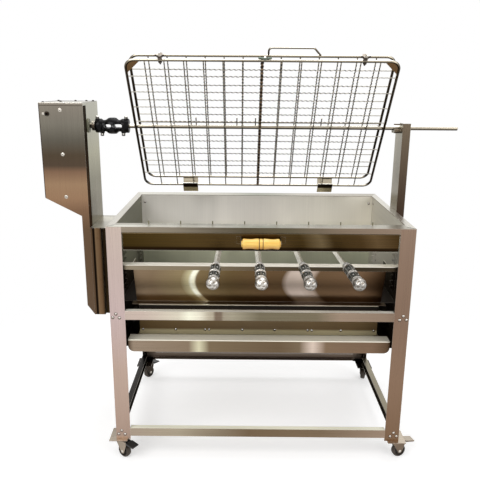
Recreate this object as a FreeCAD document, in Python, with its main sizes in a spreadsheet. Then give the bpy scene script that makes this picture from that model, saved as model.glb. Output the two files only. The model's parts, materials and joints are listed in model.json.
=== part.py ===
import FreeCAD, Part
import os
import re
import Sketcher
from FreeCAD import Placement, Rotation, Vector

# Charcoal rotisserie grill on castors, in millimetres, +Z up, front towards -Y.
# Every size is a cell of the sheet. Pieces are placed in the trolley's own frame, X from its
# middle, Y from its front face and Z from the floor, and shifted so that the origin lies on the
# floor under the middle of the whole object.
SIZES = {
    # trolley frame
    "frame_width": 1000, "frame_depth": 620, "rim_height": 855, "leg_foot": 80,
    "leg_size": 50, "leg_wall": 2, "rail_wall": 2, "rim_face": 18, "rim_side": 24,
    "rim_front": 25, "rim_back": 55, "channel_height": 31, "channel_flange": 20.4,
    "middle_rail_low": 534, "base_rail_low": 92, "tab_length": 38,
    # firebox
    "sheet_wall": 1.5, "firebox_bottom": 440, "lip_top": 720.5, "lip_face": 16.5,
    "lip_front": 20, "lip_depth": 30, "slope_overlap": 6.5, "slope_back": 100,
    "flange_overlap": 12, "hopper_top": 565, "hopper_side_gap": 8, "hopper_back": 520,
    "hopper_gap": 3,
    "grate_bar": 8, "grate_pitch": 34, "tip_shelf": 50,
    "rest_depth": 27, "notch_width": 9, "notch_depth": 7, "notch_pitch": 50.5,
    "notch_count": 16, "rest_pin_count": 8,
    "rest_pin": 4, "rest_pin_height": 11, "rest_pin_pitch": 105,
    "rack_pitch": 20, "rack_height": 140, "rack_depth": 17, "rack_low": 600,
    "rack_plate": 3, "rack_front": 130, "rack_back": 438, "tooth_rise": 14, "tooth_land": 3,
    # ash drawer
    "drawer_side_gap": 30, "drawer_low": 409, "drawer_face": 44, "drawer_depth": 540,
    "drawer_lip": 46, "drawer_corner": 20, "runner_ledge": 12,
    # front flap and its grip
    "flap_side_gap": 3, "flap_rod": 5, "flap_eye_wall": 1.6, "flap_fit": 0.1,
    "flap_axis_back": 5, "flap_low": 777, "flap_hem": 12, "flap_gap": 0.5,
    "grip_length": 126, "grip_diameter": 35, "grip_out": 36, "grip_drop": 22.5,
    "grip_rod": 6, "ear_width": 16, "groove": 2, "grip_waist": 31, "grip_nub": 22,
    "nub_length": 5,
    # drive housing and its column
    "housing_left": 769, "housing_right": 615, "housing_front": 246, "housing_back": 457,
    "housing_top": 1232, "housing_low": 452, "housing_wall": 1.2, "housing_shelf": 899,
    "housing_step": 833, "housing_foot": 37, "column_left": 641.5, "cap_rim": 8,
    "column_top": 787, "column_strip": 40, "column_recess": 15, "ledge_plate": 2.5,
    "cap_gap": 0.2, "switch_left": 740.7, "switch_height": 1195.8, "switch_bushing": 9,
    "switch_block_gap": 4, "switch_hollow": 7, "lever_tilt": 15,
    "switch_wide": 18, "switch_deep": 26, "switch_tall": 14, "gland_left": 700,
    "gland_height": 960, "shaft_diameter": 18, "shaft_grip": 30, "coupling_grip": 26,
    "switch_collar": 12, "lever_length": 15, "lever_diameter": 3.5, "lever_end": 5.25,
    "lever_pivot": 4.9, "lever_pivot_width": 4.2,
    "gland_diameter": 16, "gland_length": 12, "gland_nut_wall": 4, "gearbox_length": 84, "gearbox_width": 90,
    "gearbox_height": 110, "gearbox_drop": 60.5, "motor_diameter": 80, "motor_drop": 11,
    # spit
    "spit_diameter": 16, "spit_back": 310, "spit_height": 1152, "spit_end": 708,
    "shaft_fit": 0.1, "shaft_clearance": 1, "flange_diameter": 50, "flange_height": 6,
    "flange_plate": 3.6, "collar_diameter": 35, "collar_gap": 2,
    "collar_length": 10, "coupling_left": 588, "coupling_length": 120,
    "coupling_diameter": 50, "bulge_diameter": 58, "waist_diameter": 42,
    "thumb_shank": 6, "thumb_head": 13, "thumb_height": 9, "thumb_neck": 9.1, "thumb_stand": 3,
    "thumb_lean": 20, "thumb_left_top": 9, "thumb_left_low": 24, "thumb_right_top": 9,
    "thumb_right_low": 20, "left_barrel": 22.8, "barrel_slope": 3.6, "left_waist": 14.4,
    "bulge_slope": 7.2, "bulge_length": 26.4, "right_waist": 7.2, "window_height": 11,
    "window_left": 46.2, "window_left_width": 15.6, "window_right": 81,
    "window_right_width": 22.8,
    "spit_chamfer": 1.5, "pin_far_left": -227, "pin_left": -82, "pin_middle": -16,
    "pin_right": 218, "pin_diameter": 4, "pin_height": 42,
    # basket
    "basket_tilt": 36.4, "basket_gap": 26, "rod_diameter": 9, "wire_diameter": 3.5,
    "basket_width": 884, "basket_half": 284, "corner_radius": 30, "gusset": 50,
    "gusset_plate": 2, "gusset_corner": 9, "lid_width": 863, "lid_low": 266, "wire_bays": 14, "row_bays": 9,
    "bar_diameter": 6, "strap_width": 58, "strap_wall": 2, "strap_drop": 31,
    "strap_inset": 177, "knuckle_width": 38, "hinge_fit": 0.1, "rib_diameter": 6,
    "strap_seat": 0.3, "wire_gap": 0.02, "row_slack": 10, "lid_bar_rise": 12,
    "handle_diameter": 6, "handle_start": 20, "handle_width": 177, "handle_rise": 30,
    "handle_bend": 12, "handle_lean": 25, "catch_place": 8, "catch_span": 42, "catch_rise": 9,
    "catch_hub": 7, "catch_seat": 1.5,
    "clamp_inset": 114, "clamp_width": 14, "clamp_plate": 3, "clamp_gap": 0.3,
    "stud_diameter": 5, "stud_height": 28, "wing_span": 34, "wing_height": 14,
    "wing_wall": 2.4, "nut_diameter": 11,
    # support post
    "post_web": 3, "post_front": 262, "post_depth": 94, "post_flange": 28,
    "post_rise": 18, "post_seat": 2, "post_slant": 15, "post_side": 4, "post_hole": 22,
    "roller_diameter": 16, "roller_length": 22, "roller_spread": 26, "keeper_diameter": 5,
    "keeper_side": 1, "keeper_lift": 4.5,
    "roller_reach": 16.4,
    # castors
    "castor_length": 64, "castor_depth": 80, "castor_plate": 2.5, "castor_inset": 27.5,
    "castor_edge": 7.5, "wheel_diameter": 50, "wheel_width": 18, "castor_trail": 20,
    "head_diameter": 40, "head_height": 11, "fork_wall": 2.5, "axle_diameter": 8,
    "kingpin": 12, "castor_gap": 0.4, "wheel_play": 1, "hub_wall": 4, "wheel_recess": 3,
    "recess_slope": 2, "rim_band": 6, "tread_round": 3, "tread_start": 7, "tread_knee": 12,
    "tread_rise": 6, "tread_drop": 3, "tread_lip": 1, "pedal_width": 30, "pedal_reach": 75,
    "pivot_diameter": 5, "pedal_pivot": 34, "pedal_drop": 7, "edge_half": 9,
    "heading_front_left": -35, "heading_front_right": 17, "heading_back_left": 54,
    "heading_back_right": 72,
    # skewers
    "skewer_slope": 3.5, "skewer_pitch": 142, "skewer_shift": 68, "skewer_tip": 530,
    "blade_width": 15, "blade_height": 7, "blade_wall": 2, "handle_length": 240,
    "blade_crease": 2.6, "neck_diameter": 29, "grip_neck": 25, "bulb_diameter": 36,
    "bulb_neck": 33.84, "neck_ring": 14.4, "inner_panel": 19.2, "middle_ring": 81.6,
    "outer_panel": 96, "outer_ring": 172.8, "grip_taper": 182.4, "skewer_start": 3,
    "skewer_seat": 0.05,
}

# Places worked out from the sizes, as expressions over the names above.
PLACES = {
    "half_width": "frame_width / 2",
    "rim_under": "rim_height - rail_wall",
    "leg_height": "rim_height - rail_wall - leg_foot",
    "wall_outside": "frame_width / 2 - channel_flange",
    "wall_inside": "frame_width / 2 - channel_flange - sheet_wall",
    "back_wall": "frame_depth - rim_back",
    "flap_axis_height": "rim_height - rim_face - flap_gap - flap_eye_radius",
    "flap_eye_radius": "flap_rod / 2 + flap_fit + flap_eye_wall",
    "spit_radius": "spit_diameter / 2",
    "coupling_right": "coupling_left - coupling_length",
    "origin_x": "(housing_left - spit_end) / 2",
    "origin_depth": "(front_reach + back_reach) / 2",
    "front_reach": "skewer_start - handle_length * cos(skewer_slope)",
    "back_reach": "frame_depth - castor_inset + pedal_reach * sin(heading_back_right)"
                  " + pedal_width / 2 * cos(heading_back_right)",
    "rod_radius": "rod_diameter / 2",
    "clamp_place": "basket_width / 2 - clamp_inset",
    "strap_place": "basket_width / 2 - strap_inset",
    "grate_count": "floor(2 * (hopper_half - grate_bar) / grate_pitch)",
    "drawer_half": "wall_inside - drawer_side_gap",
    "hopper_half": "drawer_half - drawer_corner - hopper_side_gap",
    "slope_half": "hopper_half + slope_overlap",
    "flap_half": "half_width - leg_size - flap_side_gap",
    "castor_x": "frame_width / 2 - castor_edge",
    "spit_in_post": "(spit_back - post_front)",
    "lip_back": "lip_front + lip_depth",
    "shelf_height": "lip_top - (skewer_tip - lip_back) * tan(skewer_slope)",
    "skewer_height": "lip_top + blade_height + (lip_back - skewer_start) * tan(skewer_slope)"
                     " + skewer_seat",
    "fork_low": "leg_foot - castor_plate - castor_gap - head_height",
}

# A face or edge this near to a place counts as lying there.
NEAR = 0.1

doc = FreeCAD.newDocument("rotisserie_grill")
sheet = doc.addObject("Spreadsheet::Sheet", "sizes")
NODES = []


def bound(text):
    """The expression with each place written out and each size named as a cell of the sheet."""
    def written_out(match):
        word = match.group()
        if word in PLACES:
            return "(" + bound(PLACES[word]) + ")"
        return "sizes." + word if word in SIZES else word
    return re.sub(r"[a-z][a-z_]*", written_out, str(text))


def value(text):
    return float(sheet.evalExpression(bound(text)))


def fill_sheet():
    for row, (name, size) in enumerate(SIZES.items(), start=1):
        sheet.set("A%d" % row, name)
        sheet.set("B%d" % row, str(size))
        sheet.setAlias("B%d" % row, name)
    doc.recompute()


def put(piece, x="0", y="0", z="0", axis=(0, 0, 1), angle="0"):
    """Place a piece, turned by angle about axis, at expressions for x, y and z."""
    piece.Placement = Placement(Vector(), Rotation(Vector(*axis), 1))
    for name, text in (("x", x), ("y", y), ("z", z)):
        piece.setExpression("Placement.Base." + name, bound(text))
    piece.setExpression("Placement.Rotation.Angle", bound(angle))
    return piece


def node(label, piece, x="0", y="0", z="0", axis=(0, 0, 1), angle="0"):
    """Name a finished sub-part and place it in the object's frame."""
    put(piece, "origin_x + %s" % x, "%s - origin_depth" % y, z, axis, angle)
    piece.Label = label
    NODES.append(piece)
    return piece


def group(*pieces):
    """Separate solids that make one sub-part."""
    made = doc.addObject("Part::Compound", "group")
    made.Links = list(pieces)
    return made


def fuse(*pieces):
    made = doc.addObject("Part::MultiFuse", "fuse")
    made.Shapes = list(pieces)
    return made


def cut(base, *tools):
    made = doc.addObject("Part::Cut", "cut")
    made.Base = base
    made.Tool = tools[0] if len(tools) == 1 else fuse(*tools)
    return made


def box(length, width, height, x="0", y="0", z="0"):
    made = doc.addObject("Part::Box", "box")
    for side, text in (("Length", length), ("Width", width), ("Height", height)):
        made.setExpression(side, bound(text))
    return put(made, x, y, z)


AXES = {"x": ((0, 1, 0), "90"), "y": ((1, 0, 0), "-90"), "z": ((0, 0, 1), "0"),
        "towards_front": ((1, 0, 0), "90")}


def rod(diameter, length, along="z", x="0", y="0", z="0"):
    """A round bar that starts at x, y, z and runs along an axis."""
    made = doc.addObject("Part::Cylinder", "rod")
    made.setExpression("Radius", bound("(%s) / 2" % diameter))
    made.setExpression("Height", bound(length))
    axis, angle = AXES[along]
    return put(made, x, y, z, axis, angle)


def cone(low, high, length, along="z", x="0", y="0", z="0"):
    made = doc.addObject("Part::Cone", "cone")
    made.setExpression("Radius1", bound("(%s) / 2" % low))
    made.setExpression("Radius2", bound("(%s) / 2" % high))
    made.setExpression("Height", bound(length))
    axis, angle = AXES[along]
    return put(made, x, y, z, axis, angle)


def ball(diameter):
    made = doc.addObject("Part::Sphere", "ball")
    made.setExpression("Radius", bound("(%s) / 2" % diameter))
    return made


def new_body(name):
    return doc.addObject("PartDesign::Body", name)


def new_sketch(body, plane, lift):
    drawing = body.newObject("Sketcher::SketchObject", "outline")
    support = [part for part in body.Origin.OriginFeatures if part.Role == plane][0]
    drawing.AttachmentSupport = [(support, "")]
    drawing.MapMode = "FlatFace"
    drawing.setExpression("AttachmentOffset.Base.z", bound(lift))
    return drawing


def hold(drawing, kind, index, point, text):
    """Tie one coordinate of a sketch point to an expression."""
    number = drawing.addConstraint(Sketcher.Constraint(kind, -1, 1, index, point, value(text)))
    drawing.setExpression("Constraints[%d]" % number, bound(text))


def draw_outline(drawing, corners):
    """A closed outline of straight runs whose corners are pairs of expressions."""
    first = drawing.GeometryCount
    places = [Vector(value(x), value(y), 0) for x, y in corners]
    count = len(corners)
    for index in range(count):
        drawing.addGeometry(Part.LineSegment(places[index], places[(index + 1) % count]), False)
    for index, corner in enumerate(corners):
        line = first + index
        following = first + (index + 1) % count
        drawing.addConstraint(Sketcher.Constraint("Coincident", line, 2, following, 1))
        hold(drawing, "DistanceX", line, 1, corner[0])
        hold(drawing, "DistanceY", line, 1, corner[1])


def draw_circle(drawing, diameter, x="0", y="0"):
    centre = Vector(value(x), value(y), 0)
    radius = "(%s) / 2" % diameter
    index = drawing.addGeometry(Part.Circle(centre, Vector(0, 0, 1), value(radius)), False)
    hold(drawing, "DistanceX", index, 3, x)
    hold(drawing, "DistanceY", index, 3, y)
    number = drawing.addConstraint(Sketcher.Constraint("Radius", index, value(radius)))
    drawing.setExpression("Constraints[%d]" % number, bound(radius))


def feature(body, kind, drawing, length, both_ways, backwards):
    made = body.newObject("PartDesign::" + kind, kind.lower())
    made.Profile = drawing
    made.setExpression("Length", bound(length))
    made.Reversed = backwards
    if both_ways:
        made.SideType = "Symmetric"
    return made


def pad(body, plane, corners, length, lift="0", both_ways=False, backwards=False):
    """Add a straight extrusion of an outline drawn on one of the body's planes."""
    drawing = new_sketch(body, plane, lift)
    draw_outline(drawing, corners)
    return feature(body, "Pad", drawing, length, both_ways, backwards)


def pocket(body, plane, corners, length, lift="0", both_ways=False, backwards=False):
    drawing = new_sketch(body, plane, lift)
    draw_outline(drawing, corners)
    return feature(body, "Pocket", drawing, length, both_ways, backwards)


def bore(body, plane, diameter, length, x="0", y="0", lift="0", both_ways=False,
         backwards=False):
    drawing = new_sketch(body, plane, lift)
    draw_circle(drawing, diameter, x, y)
    return feature(body, "Pocket", drawing, length, both_ways, backwards)


def repeat(body, original, axis_role, pitch, count):
    """Copy a feature along one of the body's axes."""
    made = body.newObject("PartDesign::LinearPattern", "row")
    made.Originals = [original]
    axis = [part for part in body.Origin.OriginFeatures if part.Role == axis_role][0]
    made.Direction = (axis, [""])
    made.Mode = "Spacing"
    made.setExpression("Offset", bound(pitch))
    made.setExpression("Occurrences", bound(count))
    body.Tip = made
    return made


def turned(name, profile, plane="XZ_Plane", axis_role="X_Axis"):
    """A solid turned about one of its own axes from a closed half outline."""
    body = new_body(name)
    drawing = new_sketch(body, plane, "0")
    draw_outline(drawing, profile)
    made = body.newObject("PartDesign::Revolution", "turning")
    made.Profile = drawing
    axis = [part for part in body.Origin.OriginFeatures if part.Role == axis_role][0]
    made.ReferenceAxis = (axis, [""])
    made.Angle = 360
    return body


def rectangle(left, right, low, high):
    return [(left, low), (right, low), (right, high), (left, high)]


CORNERS = {
    "front_left": ("-half_width", "0", "0"),
    "front_right": ("half_width", "0", "90"),
    "back_right": ("half_width", "frame_depth", "180"),
    "back_left": ("-half_width", "frame_depth", "270"),
}


def make_legs():
    """Corner legs of equal angle, from the castor plates to the underside of the rim."""
    for side, (x, y, turn) in CORNERS.items():
        body = new_body("leg")
        angle = [("0", "0"), ("leg_size", "0"), ("leg_size", "leg_wall"),
                 ("leg_wall", "leg_wall"), ("leg_wall", "leg_size"), ("0", "leg_size")]
        pad(body, "XY_Plane", angle, "leg_height")
        depth, across = side.split("_")
        node("%s_leg_%s" % (depth, across), body, x, y, "leg_foot", angle=turn)


def rim_bar(length, near, far, face):
    """A mitred rim flange with a face turned down between the legs, along X, outside at Y 0."""
    body = new_body("rim_bar")
    mitred = [("-(%s) / 2" % length, "0"), ("(%s) / 2" % length, "0"),
              ("(%s) / 2 - %s" % (length, far), near), ("-(%s) / 2 + %s" % (length, far), near)]
    pad(body, "XY_Plane", mitred, "rail_wall")
    half = "((%s) / 2 - leg_size)" % length
    pad(body, "XY_Plane", rectangle("-" + half, half, "0", "rail_wall"), face, backwards=True)
    return body


def side_rim_bar(inward):
    """The rim flange along one side; inward is 1 on the left and -1 on the right."""
    body = new_body("side_rim_bar")
    mitred = [("0", "0"), (inward + " * rim_side", "rim_front"),
              (inward + " * rim_side", "frame_depth - rim_back"), ("0", "frame_depth")]
    pad(body, "XY_Plane", mitred, "rail_wall")
    face = rectangle("0", inward + " * rail_wall", "leg_size", "frame_depth - leg_size")
    pad(body, "XY_Plane", face, "rim_face - rail_wall", backwards=True)
    return body


def make_rim():
    front = rim_bar("frame_width", "rim_front", "rim_side", "rim_face - rail_wall")
    node("top_rail_front", front, "0", "0", "rim_under")
    back = rim_bar("frame_width", "rim_back", "rim_side", "rim_face - rail_wall")
    node("top_rail_back", back, "0", "frame_depth", "rim_under", angle="180")
    left = put(side_rim_bar("1"), "-half_width")
    right = put(side_rim_bar("-1"), "half_width")
    node("top_rails_side", group(left, right), "0", "0", "rim_under")


def channel(length, tabs):
    """A folded channel along X, web outside at Y 0, with a splice tab behind each end."""
    body = new_body("channel")
    half = "(%s) / 2" % length
    folded = [("0", "0"), ("channel_flange", "0"), ("channel_flange", "rail_wall"),
              ("rail_wall", "rail_wall"), ("rail_wall", "channel_height - rail_wall"),
              ("channel_flange", "channel_height - rail_wall"),
              ("channel_flange", "channel_height"), ("0", "channel_height")]
    pad(body, "YZ_Plane", folded, length, both_ways=True)
    if tabs:
        tab = rectangle("-(%s) - tab_length" % half, half + " + tab_length", "rail_wall",
                        "channel_height - rail_wall")
        pad(body, "XZ_Plane", tab, "rail_wall", lift="-rail_wall", backwards=True)
    return body


def make_rails():
    """Middle and base rails on all four sides; the long ones carry the riveted tabs."""
    long_bay = "frame_width - 2 * leg_size"
    short_bay = "frame_depth - 2 * leg_size"
    short_rails = []
    for name, low in (("middle_rails", "middle_rail_low"), ("base_rails", "base_rail_low")):
        front = put(channel(long_bay, True))
        back = put(channel(long_bay, True), "0", "frame_depth", "0", angle="180")
        node(name + "_long", group(front, back), "0", "0", low)
        for x, turn in (("-half_width", "-90"), ("half_width", "90")):
            short_rails.append(put(channel(short_bay, False), x, "frame_depth / 2", low,
                                   angle=turn))
    node("side_rails", group(*short_rails))


def make_firebox_back():
    """The back wall, with the folded shelf that carries the skewers' tips."""
    body = new_body("back_wall")
    tall = "rim_under - firebox_bottom"
    wall = rectangle("-wall_outside", "wall_outside", "0", tall)
    pad(body, "XZ_Plane", wall, "sheet_wall", backwards=True)
    shelf = rectangle("-tip_shelf", "0", "shelf_height - sheet_wall - firebox_bottom",
                      "shelf_height - firebox_bottom")
    pad(body, "YZ_Plane", shelf, "2 * wall_inside", both_ways=True)
    node("firebox_back", body, "0", "back_wall", "firebox_bottom")


def make_firebox_sides():
    """Side walls from behind the front lip to the back wall, each with two toothed racks."""
    pieces = []
    for left in ("-wall_outside", "wall_inside"):
        pieces.append(box("sheet_wall", "back_wall - lip_front", "rim_under - firebox_bottom",
                          left))
    for left, inward in (("-wall_inside", "1"), ("wall_inside", "-1")):
        for back in ("rack_front", "rack_back"):
            pieces.append(put(rack(inward), left, back + " - lip_front",
                              "rack_low - firebox_bottom"))
    node("firebox_sides", group(*pieces), "0", "lip_front", "firebox_bottom")


def make_firebox_front():
    """The rolled lip, the wall sloping back under it and the flange under the slope."""
    body = new_body("front_wall")
    lip = [("0", "-lip_face"), ("sheet_wall", "-lip_face"), ("sheet_wall", "-sheet_wall"),
           ("lip_depth - sheet_wall", "-sheet_wall"), ("lip_depth", "0"), ("0", "0")]
    pad(body, "YZ_Plane", lip, "2 * wall_inside", both_ways=True)
    slope_run = "(slope_back - lip_front)"
    slope_drop = "(lip_top - hopper_top)"
    slope = [("lip_depth - sheet_wall", "0"), ("lip_depth", "0"),
             (slope_run, "-" + slope_drop), (slope_run + " - sheet_wall", "-" + slope_drop)]
    pad(body, "YZ_Plane", slope, "2 * slope_half", both_ways=True)
    flange = rectangle(slope_run + " - lip_depth", slope_run,
                       "-%s - sheet_wall" % slope_drop, "-" + slope_drop)
    pad(body, "YZ_Plane", flange, "2 * (slope_half + flange_overlap)", both_ways=True)
    cheek = [("lip_depth", "0"), (slope_run, "0"), (slope_run, "-" + slope_drop)]
    for edge in ("-slope_half", "slope_half - sheet_wall"):
        pad(body, "YZ_Plane", cheek, "sheet_wall", lift=edge)
    node("firebox_front", body, "0", "lip_front", "lip_top")


def make_hopper():
    """The ash hopper: four walls open above and below, hung from two side flanges."""
    body = new_body("hopper")
    tall = "hopper_top - firebox_bottom"
    deep = "hopper_back - slope_back"
    outer = rectangle("-hopper_half", "hopper_half", "0", deep)
    pad(body, "XY_Plane", outer, tall)
    inner = rectangle("-hopper_half + sheet_wall", "hopper_half - sheet_wall", "sheet_wall",
                      deep + " - sheet_wall")
    pocket(body, "XY_Plane", inner, tall, backwards=True)
    low = "hopper_top - firebox_bottom - sheet_wall"
    for left, right in (("-wall_inside", "-hopper_half"), ("hopper_half", "wall_inside")):
        pad(body, "XY_Plane", rectangle(left, right, "0", deep), "sheet_wall", lift=low)
    node("ash_hopper", body, "0", "slope_back", "firebox_bottom")


def make_grate():
    """Charcoal grate: a flat rim on the hopper with bars across it."""
    body = new_body("grate")
    deep = "(hopper_back - slope_back)"
    rim = rectangle("-hopper_half - grate_bar", "hopper_half + grate_bar", "0", deep)
    pad(body, "XY_Plane", rim, "grate_bar / 2")
    opening = rectangle("-hopper_half + grate_bar", "hopper_half - grate_bar", "grate_bar",
                        deep + " - grate_bar")
    pocket(body, "XY_Plane", opening, "grate_bar / 2", backwards=True)
    first = "(grate_pitch / 2 - grate_count / 2 * grate_pitch)"
    bar = rectangle(first + " - grate_bar / 2", first + " + grate_bar / 2", "0", deep)
    one = pad(body, "XY_Plane", bar, "grate_bar / 2")
    repeat(body, one, "X_Axis", "grate_pitch", "grate_count")
    node("charcoal_grate", body, "0", "slope_back", "hopper_top")


def make_skewer_rest():
    """The inner ledge of the front rim, notched along its back edge, with upright pins."""
    body = new_body("ledge")
    long_half = "(half_width - rim_side)"
    pad(body, "XY_Plane", rectangle("-" + long_half, long_half, "0", "rest_depth"), "rail_wall")
    start = "(notch_pitch / 2 - notch_count / 2 * notch_pitch)"
    notch = [(start + " - notch_width / 2", "rest_depth"),
             (start + " - notch_width / 4", "rest_depth - notch_depth"),
             (start + " + notch_width / 4", "rest_depth - notch_depth"),
             (start + " + notch_width / 2", "rest_depth")]
    one = pocket(body, "XY_Plane", notch, "rail_wall", backwards=True)
    repeat(body, one, "X_Axis", "notch_pitch", "notch_count")
    drawing = new_sketch(body, "XY_Plane", "rail_wall")
    draw_circle(drawing, "rest_pin", "rest_pin_pitch * (0.5 - rest_pin_count / 2)",
                "rest_depth - notch_depth")
    pin = feature(body, "Pad", drawing, "rest_pin_height", False, False)
    repeat(body, pin, "X_Axis", "rest_pin_pitch", "rest_pin_count")
    node("skewer_rest", body, "0", "rim_front", "rim_under")


def rack(inward):
    """A strip on a side wall with sloping teeth; inward is 1 on the left, -1 on the right."""
    body = new_body("rack")
    root = inward + " * rack_depth / 2"
    tooth_tip = inward + " * rack_depth"
    pad(body, "XZ_Plane", rectangle("0", root, "0", "rack_height"), "rack_plate")
    tooth = [(root, "0"), (tooth_tip, "tooth_rise"), (tooth_tip, "tooth_rise + tooth_land"),
             (root, "tooth_rise + tooth_land")]
    one = pad(body, "XZ_Plane", tooth, "rack_plate")
    repeat(body, one, "Z_Axis", "rack_pitch", "floor(rack_height / rack_pitch)")
    return body


def make_runners():
    """Folded angles on the side walls: the drawer's floor slides on their ledges."""
    runners = []
    reach = "(wall_inside - drawer_half + drawer_corner + runner_ledge)"
    for side, inward in (("-wall_inside", "1"), ("wall_inside", "-1")):
        body = new_body("runner")
        folded = [("0", "-sheet_wall"), ("%s * %s" % (inward, reach), "-sheet_wall"),
                  ("%s * %s" % (inward, reach), "0"), (inward + " * sheet_wall", "0"),
                  (inward + " * sheet_wall", "firebox_bottom + drawer_corner - drawer_low"),
                  ("0", "firebox_bottom + drawer_corner - drawer_low")]
        pad(body, "XZ_Plane", folded, "drawer_depth - drawer_lip", backwards=True)
        runners.append(put(body, side))
    node("drawer_runners", group(*runners), "0", "lip_front + drawer_lip", "drawer_low")


def make_drawer():
    """The ash drawer: a rounded front with a folded lip over an open tray."""
    body = new_body("drawer")
    face = rectangle("-drawer_half", "drawer_half", "0", "drawer_face")
    pad(body, "XZ_Plane", face, "sheet_wall", backwards=True)
    doc.recompute()
    round_corners(body, "drawer_corner", low_outer_corner)
    lip = rectangle("-drawer_half", "drawer_half", "0", "drawer_lip")
    pad(body, "XY_Plane", lip, "sheet_wall", lift="drawer_face - sheet_wall")
    tray = "(drawer_half - drawer_corner)"
    pad(body, "XY_Plane", rectangle("-" + tray, tray, "0", "drawer_depth"), "sheet_wall")
    side_tall = "drawer_face - 2 * sheet_wall"
    for left, right in (("-" + tray, "-%s + sheet_wall" % tray),
                        (tray + " - sheet_wall", tray)):
        side = rectangle(left, right, "0", "drawer_depth")
        pad(body, "XY_Plane", side, "firebox_bottom - hopper_gap - drawer_low")
    back = rectangle("-" + tray, tray, "drawer_depth - sheet_wall", "drawer_depth")
    pad(body, "XY_Plane", back, "firebox_bottom - hopper_gap - drawer_low")
    node("ash_drawer", body, "0", "lip_front", "drawer_low")


def low_outer_corner(edge):
    """True for the two short edges at the bottom corners of the drawer's front."""
    box_size = edge.BoundBox
    short = box_size.XLength < NEAR and box_size.ZLength < NEAR
    return short and box_size.ZMax < NEAR


def round_corners(body, radius, chosen):
    """Fillet the edges of the body's present shape that the test picks out."""
    solid = body.Tip
    names = ["Edge%d" % number for number, edge in enumerate(solid.Shape.Edges, start=1)
             if chosen(edge)]
    made = body.newObject("PartDesign::Fillet", "rounding")
    made.Base = (solid, names)
    made.setExpression("Radius", bound(radius))
    return made


def make_flap():
    """The hanging flap: a panel with a hem, rolled round its hinge rod at the top."""
    body = new_body("flap")
    drop = "(flap_axis_height - flap_low)"
    drawing = new_sketch(body, "YZ_Plane", "0")
    draw_circle(drawing, "2 * flap_eye_radius")
    feature(body, "Pad", drawing, "2 * flap_half", True, False)
    front = "-flap_eye_radius"
    panel = rectangle(front, front + " + flap_eye_wall", "-" + drop, "0")
    pad(body, "YZ_Plane", panel, "2 * flap_half", both_ways=True)
    hem = rectangle(front, front + " + 3 * flap_eye_wall", "-" + drop,
                    "-%s + flap_hem" % drop)
    pad(body, "YZ_Plane", hem, "2 * flap_half", both_ways=True)
    bore(body, "YZ_Plane", "flap_rod + 2 * flap_fit", "2 * flap_half", both_ways=True)
    node("front_flap", body, "0", "flap_axis_back", "flap_axis_height")


def make_flap_rod():
    """The rod between the front legs that the flap is rolled round."""
    hinge_rod = rod("flap_rod", "frame_width - 2 * leg_wall", "x")
    node("flap_rod", group(hinge_rod), "-half_width + leg_wall", "flap_axis_back",
         "flap_axis_height")


def make_flap_bracket():
    """Two riveted ears that stand out from the flap, joined by the rod through the grip."""
    ears = []
    stand = "(grip_out - flap_eye_radius)"
    for outward, start in (("-1", "-grip_length / 2"), ("1", "grip_length / 2")):
        body = new_body("ear")
        plate = rectangle("0", outward + " * ear_width", "-ear_width", "ear_width / 2")
        pad(body, "XZ_Plane", plate, "flap_eye_wall", backwards=True)
        arm = [("0", "-ear_width"), ("0", "ear_width / 2"),
               ("-%s" % stand, "0"), ("-%s - grip_rod" % stand, "-ear_width / 2"),
               ("-%s" % stand, "-ear_width")]
        lift = "0" if outward == "1" else "-flap_eye_wall"
        pad(body, "YZ_Plane", arm, "flap_eye_wall", lift=lift)
        ears.append(put(body, start, "-flap_eye_radius - flap_eye_wall",
                        "-grip_drop + ear_width / 2"))
    through = rod("grip_rod", "grip_length", "x", "-grip_length / 2", "-grip_out", "-grip_drop")
    joined = fuse(*ears, through)
    node("flap_bracket", joined, "0", "flap_axis_back", "flap_axis_height")


def make_flap_grip():
    """The turned grip: two waisted halves with end nubs, a ring between two grooves."""
    half = "(grip_length / 2 - flap_fit)"
    hole = "grip_rod / 2 + flap_fit"
    full = "grip_diameter / 2"
    waist = "grip_waist / 2"
    right = [("0", full), ("groove", full), ("2 * groove", "%s - groove" % full),
             ("3 * groove", full), (half + " * 0.3", "(%s + %s) / 2" % (waist, full)),
             (half + " * 0.5", waist), (half + " * 0.7", "(%s + %s) / 2" % (waist, full)),
             (half + " - 2 * nub_length", full), (half + " - nub_length", "grip_nub / 2"),
             (half, "grip_nub / 3"), (half, hole)]
    left = [("-(%s)" % x, y) for x, y in reversed(right[1:])]
    node("flap_grip", turned("grip", left + right), "0", "flap_axis_back - grip_out",
         "flap_axis_height - grip_drop")


HOUSING_OUTLINE = [
    ("-housing_left", "housing_top"), ("-housing_left", "housing_shelf"),
    ("-column_left", "housing_step"), ("-column_left", "housing_low + housing_foot"),
    ("-housing_right", "housing_low"), ("-housing_right", "housing_top"),
]


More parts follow.
